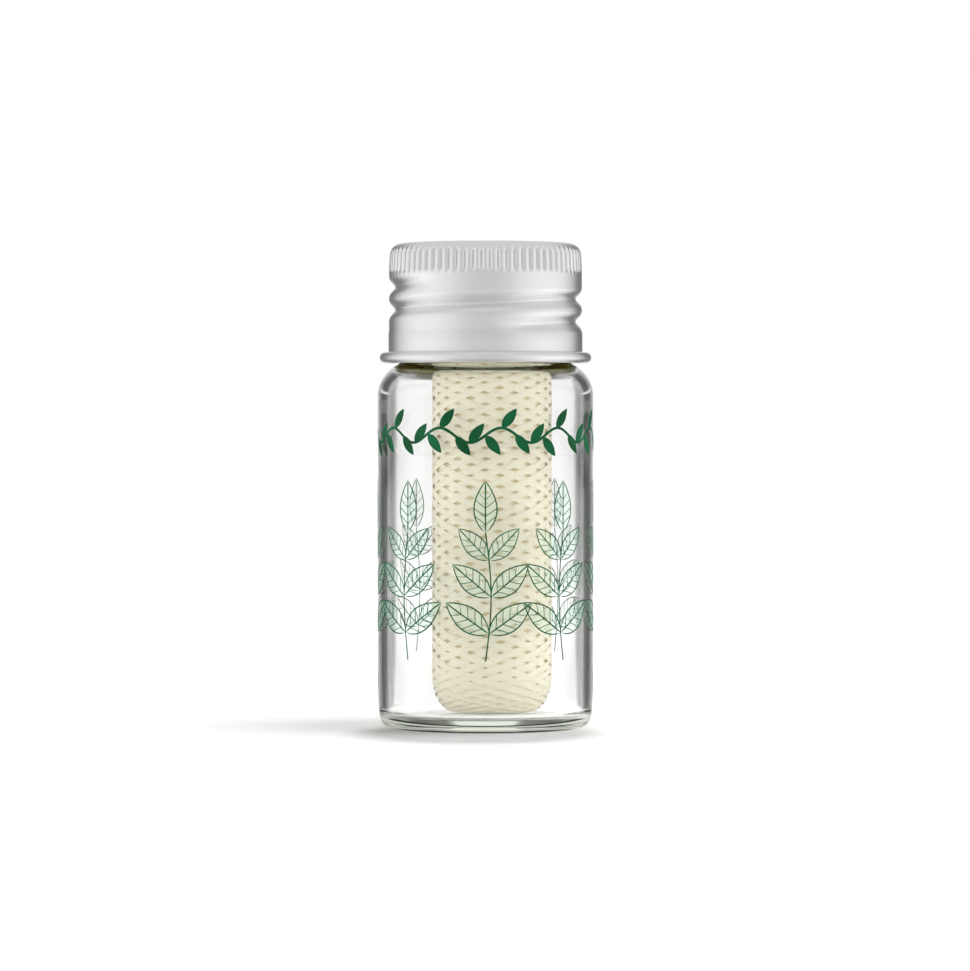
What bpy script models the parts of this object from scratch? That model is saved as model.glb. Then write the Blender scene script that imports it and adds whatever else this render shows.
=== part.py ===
"""Dental floss dispenser: a glass vial with its screw cap, a stopper with a cutter, and the wound floss."""

import math

import bmesh
import bpy
import numpy as np

# Clearance that touching pieces keep, and the overrun of every cutter
FIT_GAP = 0.0003
OVERRUN = 0.0005

# Glass vial, whose body is as wide as the cap's bead and its setback
VIAL_WALL = 0.00115
VIAL_FLOOR = 0.0016
BODY_HEIGHT = 0.041
HEEL_RADIUS = 0.002
FLOOR_CORNER_RADIUS = 0.0009
STANDING_RING_WIDTH = 0.00245
PUSH_UP_DEPTH = 0.0004
SHOULDER_RADIUS = 0.0043
SHOULDER_NORMAL_ANGLE = math.radians(62)
FINISH_HEIGHT = 0.01122
NECK_RADIUS = 0.01055
NECK_WALL = 0.00195
NECK_FILLET = 0.0004
BORE_EDGE_RADIUS = 0.0013
LIP_EDGE_RADIUS = 0.0005

# Screw thread, in turns counted from the +X side
THREAD_PITCH = 0.00282
THREAD_HEIGHT = 0.0008
THREAD_ROOT_WIDTH = 0.0013
THREAD_CREST_WIDTH = 0.0005
THREAD_TOP_DEPTH = 0.00113
THREAD_FIRST_TURN = -0.15
THREAD_LAST_TURN = 1.35
FORMED_FIRST_TURN = -0.25
FORMED_LAST_TURN = 1.675
FORMED_WIDTH = 0.0016
THREAD_FADE_TURNS = 0.09

# Aluminium cap
CAP_SHEET = 0.0003
CAP_CORNER_RADIUS = 0.0015
SKIRT_HEIGHT = 0.0039
SKIRT_STEP = 0.00007
SKIRT_STEP_HEIGHT = 0.0003
BEAD_RADIUS = 0.00069
BEAD_SWEEP_DEGREES = 285
BEAD_SETBACK = 0.00025
KNURL_COUNT = 72
KNURL_DEPTH = 0.00014
KNURL_LAND_SHARE = 0.22
KNURL_TOP_DEPTH = 0.0009
KNURL_LENGTH = 0.0028

# Liner in the cap
LINER_THICKNESS = 0.00125

# Stopper in the neck
FLANGE_THICKNESS = 0.0009
FLANGE_SETBACK = 0.0006
STOPPER_WALL = 0.001
RECESS_DEPTH = 0.0041
DECK_THICKNESS = 0.0009
SLEEVE_DEPTH = 0.0052
RIB_COUNT = 3
RIB_HEIGHT = 0.00025
RIB_WIDTH = 0.0006
RIB_SPACING = 0.0014

# Places on the stopper's deck, as shares of the recess's radius
ORIFICE_OFFSET_SHARE = 0.184
CLIP_SPAN_SHARE = 0.58
CLIP_FRONT_SHARE = 0.17
CLIP_BACK_SHARE = 0.68

# Cutter clip of spring steel
CLIP_SHEET = 0.0003
CLIP_FOOT = 0.0008
CLIP_FRAME_WIDTH = 0.00035
TOOTH_WIDTH = 0.0018
TOOTH_TIP_WIDTH = 0.0003
TOOTH_LIFT_ANGLE = math.radians(58.5)

# Floss package, which stands a little to the right of the vial's axis
PACKAGE_OFFSET = 0.0008
PACKAGE_BORE_CLEARANCE = 0.00115
PACKAGE_HEADSPACE = 0.0046
PACKAGE_CORNER_RADIUS = 0.0017
PACKAGE_CORNER_HEIGHT = 0.003
MANDREL_BORE_RADIUS = 0.0016
FLOSS_DIAMETER = 0.0007
LEVEL_GAP = 0.00048
CROSSING_PASSES = 8
ROUND_TRIP_TURNS = 5
REVERSAL_TURNS = 0.05
LEVEL_CHANGE_TURNS = 0.065
LEAVE_TURNS = 0.05
FLOSS_END_TURN = -0.25
POINTS_PER_TURN = 24
LEAST_SELF_GAP = 0.0004

# Where the lead turns on its way from the winding to the orifice, as shares of its run and rise
LEAD_TURN_SHARES = ((0.35, 0.5), (0.85, 0.8))
LEAD_STEPS = 4

# Facets
ROUND_SEGMENTS = 36
SMALL_SEGMENTS = 24
CORNER_STEPS = 3
BEAD_STEPS = 8
MERGE_DISTANCE = 0.00001
SHARP_ANGLE = math.radians(40)
MILLIMETRES_PER_METRE = 1000


def shoulder_top(wall_radius, neck_radius, arcs_radius):
    """Height at which a shoulder of arc, straight slope and arc runs out into the neck."""
    normal = SHOULDER_NORMAL_ANGLE
    slope_width = wall_radius - neck_radius - arcs_radius * (1 - math.cos(normal))
    return BODY_HEIGHT + arcs_radius * math.sin(normal) + slope_width / math.tan(normal)


# Radii that follow from the sizes above
BORE_RADIUS = NECK_RADIUS - NECK_WALL
CAP_INNER_RADIUS = NECK_RADIUS + THREAD_HEIGHT + FIT_GAP
CAP_WALL_RADIUS = CAP_INNER_RADIUS + CAP_SHEET
SKIRT_INNER_RADIUS = CAP_INNER_RADIUS + SKIRT_STEP
VIAL_RADIUS = SKIRT_INNER_RADIUS + 2 * BEAD_RADIUS + BEAD_SETBACK
VIAL_INNER_RADIUS = VIAL_RADIUS - VIAL_WALL
PUSH_UP_RADIUS = VIAL_RADIUS - HEEL_RADIUS - STANDING_RING_WIDTH
LINER_RADIUS = CAP_INNER_RADIUS - CAP_CORNER_RADIUS + FIT_GAP
FLANGE_RADIUS = NECK_RADIUS - FLANGE_SETBACK
SLEEVE_RADIUS = BORE_RADIUS - FIT_GAP - RIB_HEIGHT
RECESS_RADIUS = SLEEVE_RADIUS - STOPPER_WALL
FLOSS_RADIUS = FLOSS_DIAMETER / 2
ORIFICE_RADIUS = FLOSS_RADIUS + FIT_GAP
PACKAGE_RADIUS = BORE_RADIUS - PACKAGE_BORE_CLEARANCE
OUTER_LEVEL_RADIUS = PACKAGE_RADIUS - FLOSS_RADIUS
INNER_LEVEL_RADIUS = OUTER_LEVEL_RADIUS - FLOSS_DIAMETER - LEVEL_GAP
CORE_RADIUS = INNER_LEVEL_RADIUS - FLOSS_RADIUS - FIT_GAP

# Heights that follow, from the surface that the vial stands on
NECK_FOOT_Z = shoulder_top(VIAL_RADIUS, NECK_RADIUS, SHOULDER_RADIUS + NECK_FILLET)
LIP_Z = NECK_FOOT_Z + FINISH_HEIGHT
FLANGE_BOTTOM_Z = LIP_Z + FIT_GAP
FLANGE_TOP_Z = FLANGE_BOTTOM_Z + FLANGE_THICKNESS
LINER_BOTTOM_Z = FLANGE_TOP_Z + FIT_GAP
CAP_TOP_Z = LINER_BOTTOM_Z + LINER_THICKNESS + FIT_GAP + CAP_SHEET
CAP_BOTTOM_Z = NECK_FOOT_Z - FIT_GAP
CAP_HEIGHT = CAP_TOP_Z - CAP_BOTTOM_Z
DECK_TOP_Z = FLANGE_TOP_Z - RECESS_DEPTH
DECK_BOTTOM_Z = DECK_TOP_Z - DECK_THICKNESS
SLEEVE_BOTTOM_Z = LIP_Z - SLEEVE_DEPTH
CLIP_MIDDLE_Z = DECK_TOP_Z + FIT_GAP + CLIP_SHEET / 2
PACKAGE_BOTTOM_Z = VIAL_FLOOR + FIT_GAP
PACKAGE_LENGTH = SLEEVE_BOTTOM_Z - PACKAGE_HEADSPACE - PACKAGE_BOTTOM_Z
THREAD_ZERO_Z = LIP_Z - THREAD_TOP_DEPTH - THREAD_PITCH * THREAD_LAST_TURN
FORMED_ZERO_Z = THREAD_ZERO_Z - THREAD_PITCH / 2

# Sizes and places across the deck that follow
ORIFICE_OFFSET = ORIFICE_OFFSET_SHARE * RECESS_RADIUS
CLIP_LENGTH = 2 * (CLIP_SPAN_SHARE * RECESS_RADIUS - CLIP_FOOT)
CLIP_FRONT_Y = CLIP_FRONT_SHARE * RECESS_RADIUS
CLIP_BACK_Y = CLIP_BACK_SHARE * RECESS_RADIUS
CLIP_WIDTH = CLIP_BACK_Y - CLIP_FRONT_Y
CLIP_OFFSET = (CLIP_BACK_Y + CLIP_FRONT_Y) / 2
TOOTH_LENGTH = CLIP_WIDTH - 2 * CLIP_FRAME_WIDTH
TOOTH_RISE = TOOTH_LENGTH * math.sin(TOOTH_LIFT_ANGLE)
TOOTH_REACH = TOOTH_LENGTH * math.cos(TOOTH_LIFT_ANGLE)

# Turns that follow: each round trip ends one share of a turn on, and the floss starts between crossings
TURNS_PER_PASS = (ROUND_TRIP_TURNS + 2 / CROSSING_PASSES) / 2
TOTAL_TURNS = CROSSING_PASSES * TURNS_PER_PASS
START_TURN = 3 / CROSSING_PASSES / 2


def clear_scene():
    for old in list(bpy.data.objects):
        bpy.data.objects.remove(old, do_unlink=True)


def make_collection(name):
    collection = bpy.data.collections.new(name)
    bpy.context.scene.collection.children.link(collection)
    return collection


def make_material(name, colour, roughness, metallic=0.0, transmission=0.0):
    material = bpy.data.materials.new(name)
    material.use_nodes = True
    shader = material.node_tree.nodes["Principled BSDF"]
    shader.inputs["Base Color"].default_value = (*colour, 1.0)
    shader.inputs["Roughness"].default_value = roughness
    shader.inputs["Metallic"].default_value = metallic
    shader.inputs["Transmission Weight"].default_value = transmission
    material.diffuse_color = (*colour, 1.0)
    return material


def make_axis(name, height, parent=None, offset=0.0):
    """An empty that carries the pieces that move together, at an offset to the vial's axis."""
    axis = bpy.data.objects.new(name, None)
    PARTS.objects.link(axis)
    axis.empty_display_size = VIAL_RADIUS
    axis.location = (offset, 0.0, height)
    axis.parent = parent
    return axis


def add_part(name, data, material, parent, height=0.0):
    """Links a piece; its height is given from the surface that the vial stands on."""
    part = bpy.data.objects.new(name, data)
    PARTS.objects.link(part)
    data.materials.append(material)
    part.parent = parent
    part.location.z = height - parent.location.z
    return part


def add_cutter(name, mesh, height=0.0):
    cutter = bpy.data.objects.new(name, mesh)
    CUTTERS.objects.link(cutter)
    cutter.location.z = height
    cutter.hide_render = True
    cutter.display_type = "WIRE"
    return cutter


def boolean(part, cutter, operation):
    modifier = part.modifiers.new(cutter.name, "BOOLEAN")
    modifier.operation = operation
    modifier.object = cutter
    modifier.solver = "EXACT"


def shade_round(mesh):
    mesh.shade_smooth()
    mesh.set_sharp_from_angle(angle=SHARP_ANGLE)


def arc(centre_x, centre_z, radius, start_degrees, end_degrees, steps=CORNER_STEPS):
    """Points of an arc; angles run from +X towards +Z."""
    angles = [
        math.radians(start_degrees + (end_degrees - start_degrees) * step / steps)
        for step in range(steps + 1)
    ]
    return [(centre_x + radius * math.cos(a), centre_z + radius * math.sin(a)) for a in angles]


def outline_mesh(name, outline, closed=False):
    """A profile of (x, z) points joined by edges."""
    count = len(outline)
    edges = [(i, i + 1) for i in range(count - 1)]
    if closed:
        edges.append((count - 1, 0))
    mesh = bpy.data.meshes.new(name)
    mesh.from_pydata([(x, 0.0, z) for x, z in outline], edges, [])
    return mesh


def add_screw(part, turns=1.0, rise=0.0):
    screw = part.modifiers.new("Turn", "SCREW")
    screw.axis = "Z"
    screw.angle = math.tau * turns
    screw.screw_offset = rise
    screw.steps = round(ROUND_SEGMENTS * turns)
    screw.render_steps = screw.steps
    screw.use_merge_vertices = rise == 0.0
    screw.merge_threshold = MERGE_DISTANCE
    screw.use_smooth_shade = True


def add_solidify(part, thickness, offset):
    solidify = part.modifiers.new("Sheet", "SOLIDIFY")
    solidify.thickness = thickness
    solidify.offset = offset
    solidify.use_even_offset = True


def evaluated_mesh(part):
    """The part's shape with its modifiers, as a mesh of its own; the part itself is removed."""
    bpy.context.view_layer.update()
    graph = bpy.context.evaluated_depsgraph_get()
    mesh = bpy.data.meshes.new_from_object(part.evaluated_get(graph))
    bpy.data.objects.remove(part, do_unlink=True)
    return mesh


def smooth_step(share):
    share = min(max(share, 0.0), 1.0)
    return share * share * (3 - 2 * share)


def helix_solid(name, section, first_turn, last_turn, zero_z, sunk_radius):
    """A section swept along the thread's helix, whose front sinks to sunk_radius at both ends.

    The section's first and last points are its back, which stays where it is.
    """
    turns = last_turn - first_turn
    back_radius = section[0][0]
    sweep = add_cutter(name + "_sweep", outline_mesh(name, section, closed=True))
    add_screw(sweep, turns, THREAD_PITCH * turns)
    mesh = evaluated_mesh(sweep)
    shape = bmesh.new()
    shape.from_mesh(mesh)
    for vertex in shape.verts:
        point = vertex.co
        radius = math.hypot(point.x, point.y)
        if abs(radius - back_radius) < MERGE_DISTANCE:
            continue
        angle_turns = math.atan2(point.y, point.x) / math.tau
        travelled = angle_turns + round(point.z / THREAD_PITCH - angle_turns)
        depth = smooth_step(min(travelled, turns - travelled) / THREAD_FADE_TURNS)
        scale = (sunk_radius + (radius - sunk_radius) * depth) / radius
        point.x *= scale
        point.y *= scale
    bmesh.ops.holes_fill(shape, edges=shape.edges, sides=len(section))
    bmesh.ops.recalc_face_normals(shape, faces=shape.faces)
    shape.to_mesh(mesh)
    shape.free()
    solid = add_cutter(name, mesh, zero_z + THREAD_PITCH * first_turn)
    solid.rotation_euler.z = math.tau * first_turn
    return solid


def shoulder(wall_radius, neck_radius, wall_arc_radius, neck_arc_radius):
    """Outline of a shoulder, from the neck down to the straight wall: arc, straight slope, arc."""
    turn = math.degrees(SHOULDER_NORMAL_ANGLE)
    neck_arc_z = shoulder_top(wall_radius, neck_radius, wall_arc_radius + neck_arc_radius)
    neck_arc = arc(neck_radius + neck_arc_radius, neck_arc_z, neck_arc_radius, 180, 180 + turn)
    wall_arc = arc(wall_radius - wall_arc_radius, BODY_HEIGHT, wall_arc_radius, turn, 0)
    return neck_arc + wall_arc


def vial_outline():
    """From the floor's centre up the inside, over the lip and down the outside to the foot."""
    floor_corner = arc(
        VIAL_INNER_RADIUS - FLOOR_CORNER_RADIUS,
        VIAL_FLOOR + FLOOR_CORNER_RADIUS,
        FLOOR_CORNER_RADIUS,
        -90,
        0,
    )
    inner_shoulder = shoulder(
        VIAL_INNER_RADIUS, BORE_RADIUS, SHOULDER_RADIUS - VIAL_WALL, BORE_EDGE_RADIUS
    )
    lip_z = LIP_Z - LIP_EDGE_RADIUS
    lip_inside = arc(BORE_RADIUS + LIP_EDGE_RADIUS, lip_z, LIP_EDGE_RADIUS, 180, 90, 2)
    lip_outside = arc(NECK_RADIUS - LIP_EDGE_RADIUS, lip_z, LIP_EDGE_RADIUS, 90, 0, 2)
    outer_shoulder = shoulder(VIAL_RADIUS, NECK_RADIUS, SHOULDER_RADIUS, NECK_FILLET)
    heel = arc(VIAL_RADIUS - HEEL_RADIUS, HEEL_RADIUS, HEEL_RADIUS, 0, -90)
    push_up = [(PUSH_UP_RADIUS, 0.0), (PUSH_UP_RADIUS / 2, PUSH_UP_DEPTH), (0.0, PUSH_UP_DEPTH)]
    return (
        [(0.0, VIAL_FLOOR)]
        + floor_corner
        + inner_shoulder[::-1]
        + lip_inside
        + lip_outside
        + outer_shoulder
        + heel
        + push_up
    )


def make_vial(parent):
    vial = add_part("glass_vial", outline_mesh("glass_vial", vial_outline()), GLASS, parent)
    add_screw(vial)
    root_radius = NECK_RADIUS - OVERRUN
    crest_radius = NECK_RADIUS + THREAD_HEIGHT
    section = [
        (root_radius, THREAD_ROOT_WIDTH / 2),
        (crest_radius, THREAD_CREST_WIDTH / 2),
        (crest_radius, -THREAD_CREST_WIDTH / 2),
        (root_radius, -THREAD_ROOT_WIDTH / 2),
    ]
    sunk_radius = NECK_RADIUS - OVERRUN / 2
    thread = helix_solid(
        "vial_thread", section, THREAD_FIRST_TURN, THREAD_LAST_TURN, THREAD_ZERO_Z, sunk_radius
    )
    boolean(vial, thread, "UNION")


def cap_outline():
    """The sheet's inner face, from the top's centre down the skirt and round the outside of the bead."""
    top_z = CAP_HEIGHT - CAP_SHEET
    corner_radius = CAP_CORNER_RADIUS - CAP_SHEET
    corner = arc(CAP_INNER_RADIUS - corner_radius, top_z - corner_radius, corner_radius, 90, 0)
    knurl_end_z = CAP_HEIGHT - KNURL_TOP_DEPTH - KNURL_LENGTH
    bead_start = 180
    bead = arc(
        SKIRT_INNER_RADIUS + BEAD_RADIUS,
        BEAD_RADIUS,
        BEAD_RADIUS,
        bead_start,
        bead_start + BEAD_SWEEP_DEGREES,
        BEAD_STEPS,
    )
    return (
        [(0.0, top_z)]
        + corner
        + [
            (CAP_INNER_RADIUS, knurl_end_z),
            (CAP_INNER_RADIUS, SKIRT_HEIGHT),
            (SKIRT_INNER_RADIUS, SKIRT_HEIGHT - SKIRT_STEP_HEIGHT),
        ]
        + bead
    )


def formed_section(surface_radius, half_width, back_radius):
    """Section of the formed thread: a smooth wave inward from a surface, closed at back_radius."""
    steps = 2 * CORNER_STEPS
    wave = []
    for step in range(1, steps):
        share = 2 * step / steps - 1
        depth = THREAD_HEIGHT * (1 + math.cos(math.pi * share)) / 2
        wave.append((surface_radius - depth, -half_width * share))
    return [(back_radius, half_width), *wave, (back_radius, -half_width)]


def flute_cutter():
    """A ring with a toothed inner edge, whose teeth press the knurl's flutes."""
    valley_radius = CAP_WALL_RADIUS - KNURL_DEPTH
    ridge_radius = CAP_WALL_RADIUS + KNURL_DEPTH * KNURL_LAND_SHARE / (1 - KNURL_LAND_SHARE)
    shape = bmesh.new()
    points = 2 * KNURL_COUNT
    outer = bmesh.ops.create_circle(shape, segments=points, radius=CAP_WALL_RADIUS + OVERRUN)["verts"]
    inner = bmesh.ops.create_circle(shape, segments=points, radius=valley_radius)["verts"]
    for vertex in inner[::2]:
        vertex.co *= ridge_radius / valley_radius
    bmesh.ops.bridge_loops(shape, edges=shape.edges)
    ring = bmesh.ops.extrude_face_region(shape, geom=shape.faces)["geom"]
    raised = [item for item in ring if isinstance(item, bmesh.types.BMVert)]
    bmesh.ops.translate(shape, vec=(0.0, 0.0, KNURL_LENGTH), verts=raised)
    bmesh.ops.recalc_face_normals(shape, faces=shape.faces)
    mesh = bpy.data.meshes.new("knurl_flutes")
    shape.to_mesh(mesh)
    shape.free()
    return add_cutter("knurl_flutes", mesh, CAP_TOP_Z - KNURL_TOP_DEPTH - KNURL_LENGTH)


def make_cap(parent):
    cap = add_part(
        "screw_cap", outline_mesh("screw_cap", cap_outline()), ALUMINIUM, parent, CAP_BOTTOM_Z
    )
    add_screw(cap)
    add_solidify(cap, CAP_SHEET, 1.0)
    sheet_middle = CAP_INNER_RADIUS + CAP_SHEET / 2
    helix = (FORMED_FIRST_TURN, FORMED_LAST_TURN, FORMED_ZERO_Z)
    ridge_section = formed_section(CAP_INNER_RADIUS, FORMED_WIDTH / 2 + CAP_SHEET / 2, sheet_middle)
    ridge_sunk = CAP_INNER_RADIUS + CAP_SHEET / 4
    ridge = helix_solid("formed_ridge", ridge_section, *helix, ridge_sunk)
    groove_back = CAP_WALL_RADIUS + OVERRUN
    groove_section = formed_section(CAP_WALL_RADIUS, FORMED_WIDTH / 2, groove_back)
    groove = helix_solid("formed_groove", groove_section, *helix, groove_back - OVERRUN / 2)
    boolean(cap, ridge, "UNION")
    boolean(cap, groove, "DIFFERENCE")
    boolean(cap, flute_cutter(), "DIFFERENCE")


def make_liner(parent):
    outline = [
        (0.0, LINER_THICKNESS),
        (LINER_RADIUS, LINER_THICKNESS),
        (LINER_RADIUS, 0.0),
        (0.0, 0.0),
    ]
    liner = add_part("cap_liner", outline_mesh("cap_liner", outline), FOAM, parent, LINER_BOTTOM_Z)
    add_screw(liner)


def stopper_outline():
    """From the deck's centre up the recess, over the flange, down the ribs and back under the deck."""
    ribs = []
    for rib in range(RIB_COUNT):
        top_z = FLANGE_BOTTOM_Z - RIB_SPACING * (rib + 1) + RIB_WIDTH / 2
        ribs += [
            (SLEEVE_RADIUS, top_z),
            (SLEEVE_RADIUS + RIB_HEIGHT, top_z - RIB_WIDTH / 2),
            (SLEEVE_RADIUS, top_z - RIB_WIDTH),
        ]
    return [
        (0.0, DECK_TOP_Z),
        (RECESS_RADIUS, DECK_TOP_Z),
        (RECESS_RADIUS, FLANGE_TOP_Z),
        (FLANGE_RADIUS, FLANGE_TOP_Z),
        (FLANGE_RADIUS, FLANGE_BOTTOM_Z),
        (SLEEVE_RADIUS, FLANGE_BOTTOM_Z),
        *ribs,
        (SLEEVE_RADIUS, SLEEVE_BOTTOM_Z),
        (RECESS_RADIUS, SLEEVE_BOTTOM_Z),
        (RECESS_RADIUS, DECK_BOTTOM_Z),
        (0.0, DECK_BOTTOM_Z),
    ]


def deck_middle_z():
    return (DECK_TOP_Z + DECK_BOTTOM_Z) / 2


def orifice_cutter():
    mesh = bpy.data.meshes.new("orifice")
    shape = bmesh.new()
    bmesh.ops.create_cone(
        shape,
        cap_ends=True,
        segments=SMALL_SEGMENTS,
        radius1=ORIFICE_RADIUS,
        radius2=ORIFICE_RADIUS,
        depth=DECK_THICKNESS + 2 * OVERRUN,
    )
    shape.to_mesh(mesh)
    shape.free()
    cutter = add_cutter("orifice", mesh, deck_middle_z())
    cutter.location.y = -ORIFICE_OFFSET
    return cutter


def slot_cutter(name, side):
    """A slot in the deck for one of the clip's legs."""
    mesh = bpy.data.meshes.new(name)
    shape = bmesh.new()
    bmesh.ops.create_cube(shape, size=1.0)
    size = (
        CLIP_SHEET + 2 * FIT_GAP,
        CLIP_WIDTH + 2 * FIT_GAP,
        DECK_THICKNESS + 2 * OVERRUN,
    )
    bmesh.ops.scale(shape, vec=size, verts=shape.verts)
    shape.to_mesh(mesh)
    shape.free()
    cutter = add_cutter(name, mesh, deck_middle_z())
    cutter.location.x = side * CLIP_LENGTH / 2
    cutter.location.y = CLIP_OFFSET
    return cutter


def make_stopper(parent):
    stopper = add_part(
        "inner_stopper", outline_mesh("inner_stopper", stopper_outline()), POLYETHYLENE, parent
    )
    add_screw(stopper)
    boolean(stopper, orifice_cutter(), "DIFFERENCE")
    boolean(stopper, slot_cutter("left_slot", -1), "DIFFERENCE")
    boolean(stopper, slot_cutter("right_slot", 1), "DIFFERENCE")


def clip_plate(shape):
    """The clip's plate as a grid of three by three faces, with the middle one punched out."""
    columns = (-CLIP_LENGTH / 2, -TOOTH_WIDTH / 2, TOOTH_WIDTH / 2, CLIP_LENGTH / 2)
    rows = (-CLIP_WIDTH / 2, -TOOTH_LENGTH / 2, TOOTH_LENGTH / 2, CLIP_WIDTH / 2)
    grid = bmesh.ops.create_grid(shape, x_segments=3, y_segments=3, size=1.0)["verts"]
    for vertex in grid:
        column = round((vertex.co.x + 1.0) * 3 / 2)
        row = round((vertex.co.y + 1.0) * 3 / 2)
        vertex.co.x = columns[column]
        vertex.co.y = rows[row]
    middle = [face for face in shape.faces if face.calc_center_median().length < MERGE_DISTANCE]
    bmesh.ops.delete(shape, geom=middle, context="FACES_ONLY")


def raise_tooth(shape):
    """Folds the punched tab up from the back edge of its hole, towards the front, to a narrow tip."""
    back_edges = [
        edge
        for edge in shape.edges
        if all(abs(v.co.y - TOOTH_LENGTH / 2) < MERGE_DISTANCE for v in edge.verts)
        and all(abs(v.co.x) < TOOTH_WIDTH / 2 + MERGE_DISTANCE for v in edge.verts)
    ]
    tab = bmesh.ops.extrude_edge_only(shape, edges=back_edges)["geom"]
    for item in tab:
        if isinstance(item, bmesh.types.BMVert):
            item.co.x *= TOOTH_TIP_WIDTH / TOOTH_WIDTH
            item.co.y -= TOOTH_REACH
            item.co.z += TOOTH_RISE


def fold_legs(shape):
    """Folds a leg down from each end of the plate, and a foot outward under the deck."""
    leg_length = FIT_GAP + DECK_THICKNESS + FIT_GAP + CLIP_SHEET
    for side in (-1, 1):
        ends = [
            edge
            for edge in shape.edges
            if all(abs(v.co.x - side * CLIP_LENGTH / 2) < MERGE_DISTANCE for v in edge.verts)
        ]
        for step in ((0.0, 0.0, -leg_length), (side * CLIP_FOOT, 0.0, 0.0)):
            made = bmesh.ops.extrude_edge_only(shape, edges=ends)["geom"]
            moved = [item for item in made if isinstance(item, bmesh.types.BMVert)]
            bmesh.ops.translate(shape, vec=step, verts=moved)
            ends = [
                item
                for item in made
                if isinstance(item, bmesh.types.BMEdge) and all(v in moved for v in item.verts)
            ]


def make_clip(parent):
    mesh = bpy.data.meshes.new("cutter_clip")
    shape = bmesh.new()
    clip_plate(shape)
    raise_tooth(shape)
    fold_legs(shape)
    bmesh.ops.recalc_face_normals(shape, faces=shape.faces)
    shape.to_mesh(mesh)
    shape.free()
    clip = add_part("cutter_clip", mesh, STEEL, parent, CLIP_MIDDLE_Z)
    clip.location.y = CLIP_OFFSET
    add_solidify(clip, CLIP_SHEET, 0.0)


def make_core(parent):
    """The package's inner layers, as one body with the mandrel's bore through it."""
    length = PACKAGE_LENGTH - 2 * (FLOSS_DIAMETER + FIT_GAP)
    corner = PACKAGE_CORNER_RADIUS
    top = arc(CORE_RADIUS - corner, length - corner, corner, 90, 0)
    bottom = arc(CORE_RADIUS - corner, corner, corner, 0, -90)
    bore = [(MANDREL_BORE_RADIUS, 0.0), (MANDREL_BORE_RADIUS, length)]
    outline = outline_mesh("floss_core", top + bottom + bore, closed=True)
    base_z = PACKAGE_BOTTOM_Z + FLOSS_DIAMETER + FIT_GAP
    core = add_part("floss_core", outline, FLOSS, parent, base_z)
    add_screw(core)


def rounding(height):
    """How far the package's rounded ends draw a strand in at this height above its bottom."""
    from_end = min(height, PACKAGE_LENGTH - height)
    inside = max(1 - from_end / PACKAGE_CORNER_HEIGHT, 0.0)
    return PACKAGE_CORNER_RADIUS * (1 - math.sqrt(1 - inside**2))


def round_point(radius, turn, height):
    angle = math.tau * (turn + FLOSS_END_TURN - TOTAL_TURNS)
    return (radius * math.cos(angle), radius * math.sin(angle), height)


def strand_place(turn):
    """Radius and height of the crosswise winding, this many turns after its first top reversal.

    Even passes go down on the outer level, odd passes come back up on the inner level, and the
    strand changes level over the turning points, so that it never meets itself.
    """
    number = int(turn // TURNS_PER_PASS)
    since_reversal = turn - number * TURNS_PER_PASS
    to_reversal = TURNS_PER_PASS - since_reversal
    nearest = min(since_reversal, to_reversal)
    goes_down = number % 2 == 0
    top_is_nearest = goes_down == (since_reversal < to_reversal)
    stroke = PACKAGE_LENGTH - FLOSS_DIAMETER
    lead = stroke / (TURNS_PER_PASS - 2 * REVERSAL_TURNS)
    travel = lead * (math.hypot(nearest, REVERSAL_TURNS) - REVERSAL_TURNS)
    height = FLOSS_RADIUS + (stroke - travel if top_is_nearest else travel)
    change = nearest / LEVEL_CHANGE_TURNS
    outward = smooth_step((1 + change) / 2 if goes_down else (1 - change) / 2)
    level = INNER_LEVEL_RADIUS + (OUTER_LEVEL_RADIUS - INNER_LEVEL_RADIUS) * outward
    return level - rounding(height), height


def strand_exit():
    """Turn, radius and height at which the strand leaves the winding and runs straight up."""
    turn = TOTAL_TURNS - LEAVE_TURNS
    radius, height = strand_place(turn)
    return turn, radius, height


def winding_points():
    """Out of the core, through every pass, and straight up from the package's top."""
    start_radius = CORE_RADIUS + FIT_GAP
    start_height = strand_place(START_TURN)[1]
    points = [
        round_point(start_radius, START_TURN, start_height),
        round_point(start_radius + FLOSS_DIAMETER, START_TURN, start_height),
    ]
    exit_turn, exit_radius, exit_height = strand_exit()
    steps = round((exit_turn - START_TURN) * POINTS_PER_TURN)
    for step in range(1, steps + 1):
        turn = START_TURN + (exit_turn - START_TURN) * step / steps
        radius, height = strand_place(turn)
        points.append(round_point(radius, turn, height))
    bend_turn = exit_turn + LEAVE_TURNS / 2
    bend_height = exit_height + FLOSS_DIAMETER
    points.append(round_point(exit_radius, bend_turn, bend_height))
    points.append(round_point(exit_radius, bend_turn, bend_height + FLOSS_DIAMETER))
    return points


def least_self_gap(points, diameter):
    """The least gap between stretches of the tube that are over three diameters apart along it."""
    line = np.array(points)
    shares = np.linspace(0, 1, 4, endpoint=False).reshape(1, -1, 1)
    dense = (line[:-1, None] + (line[1:] - line[:-1])[:, None] * shares).reshape(-1, 3)
    along = np.concatenate([[0.0], np.cumsum(np.linalg.norm(np.diff(dense, axis=0), axis=1))])
    least = math.inf
    for index, point in enumerate(dense):
        far = np.abs(along - along[index]) > 3 * diameter
        least = min(least, np.linalg.norm(dense[far] - point, axis=1).min())
    return least - diameter


def tube_curve(name, points, diameter, resolution):
    curve = bpy.data.curves.new(name, "CURVE")
    curve.dimensions = "3D"
    curve.bevel_depth = diameter / 2
    curve.bevel_resolution = resolution
    curve.use_fill_caps = True
    spline = curve.splines.new("POLY")
    spline.points.add(len(points) - 1)
    for spline_point, place in zip(spline.points, points):
        spline_point.co = (*place, 1.0)
    return curve


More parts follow.
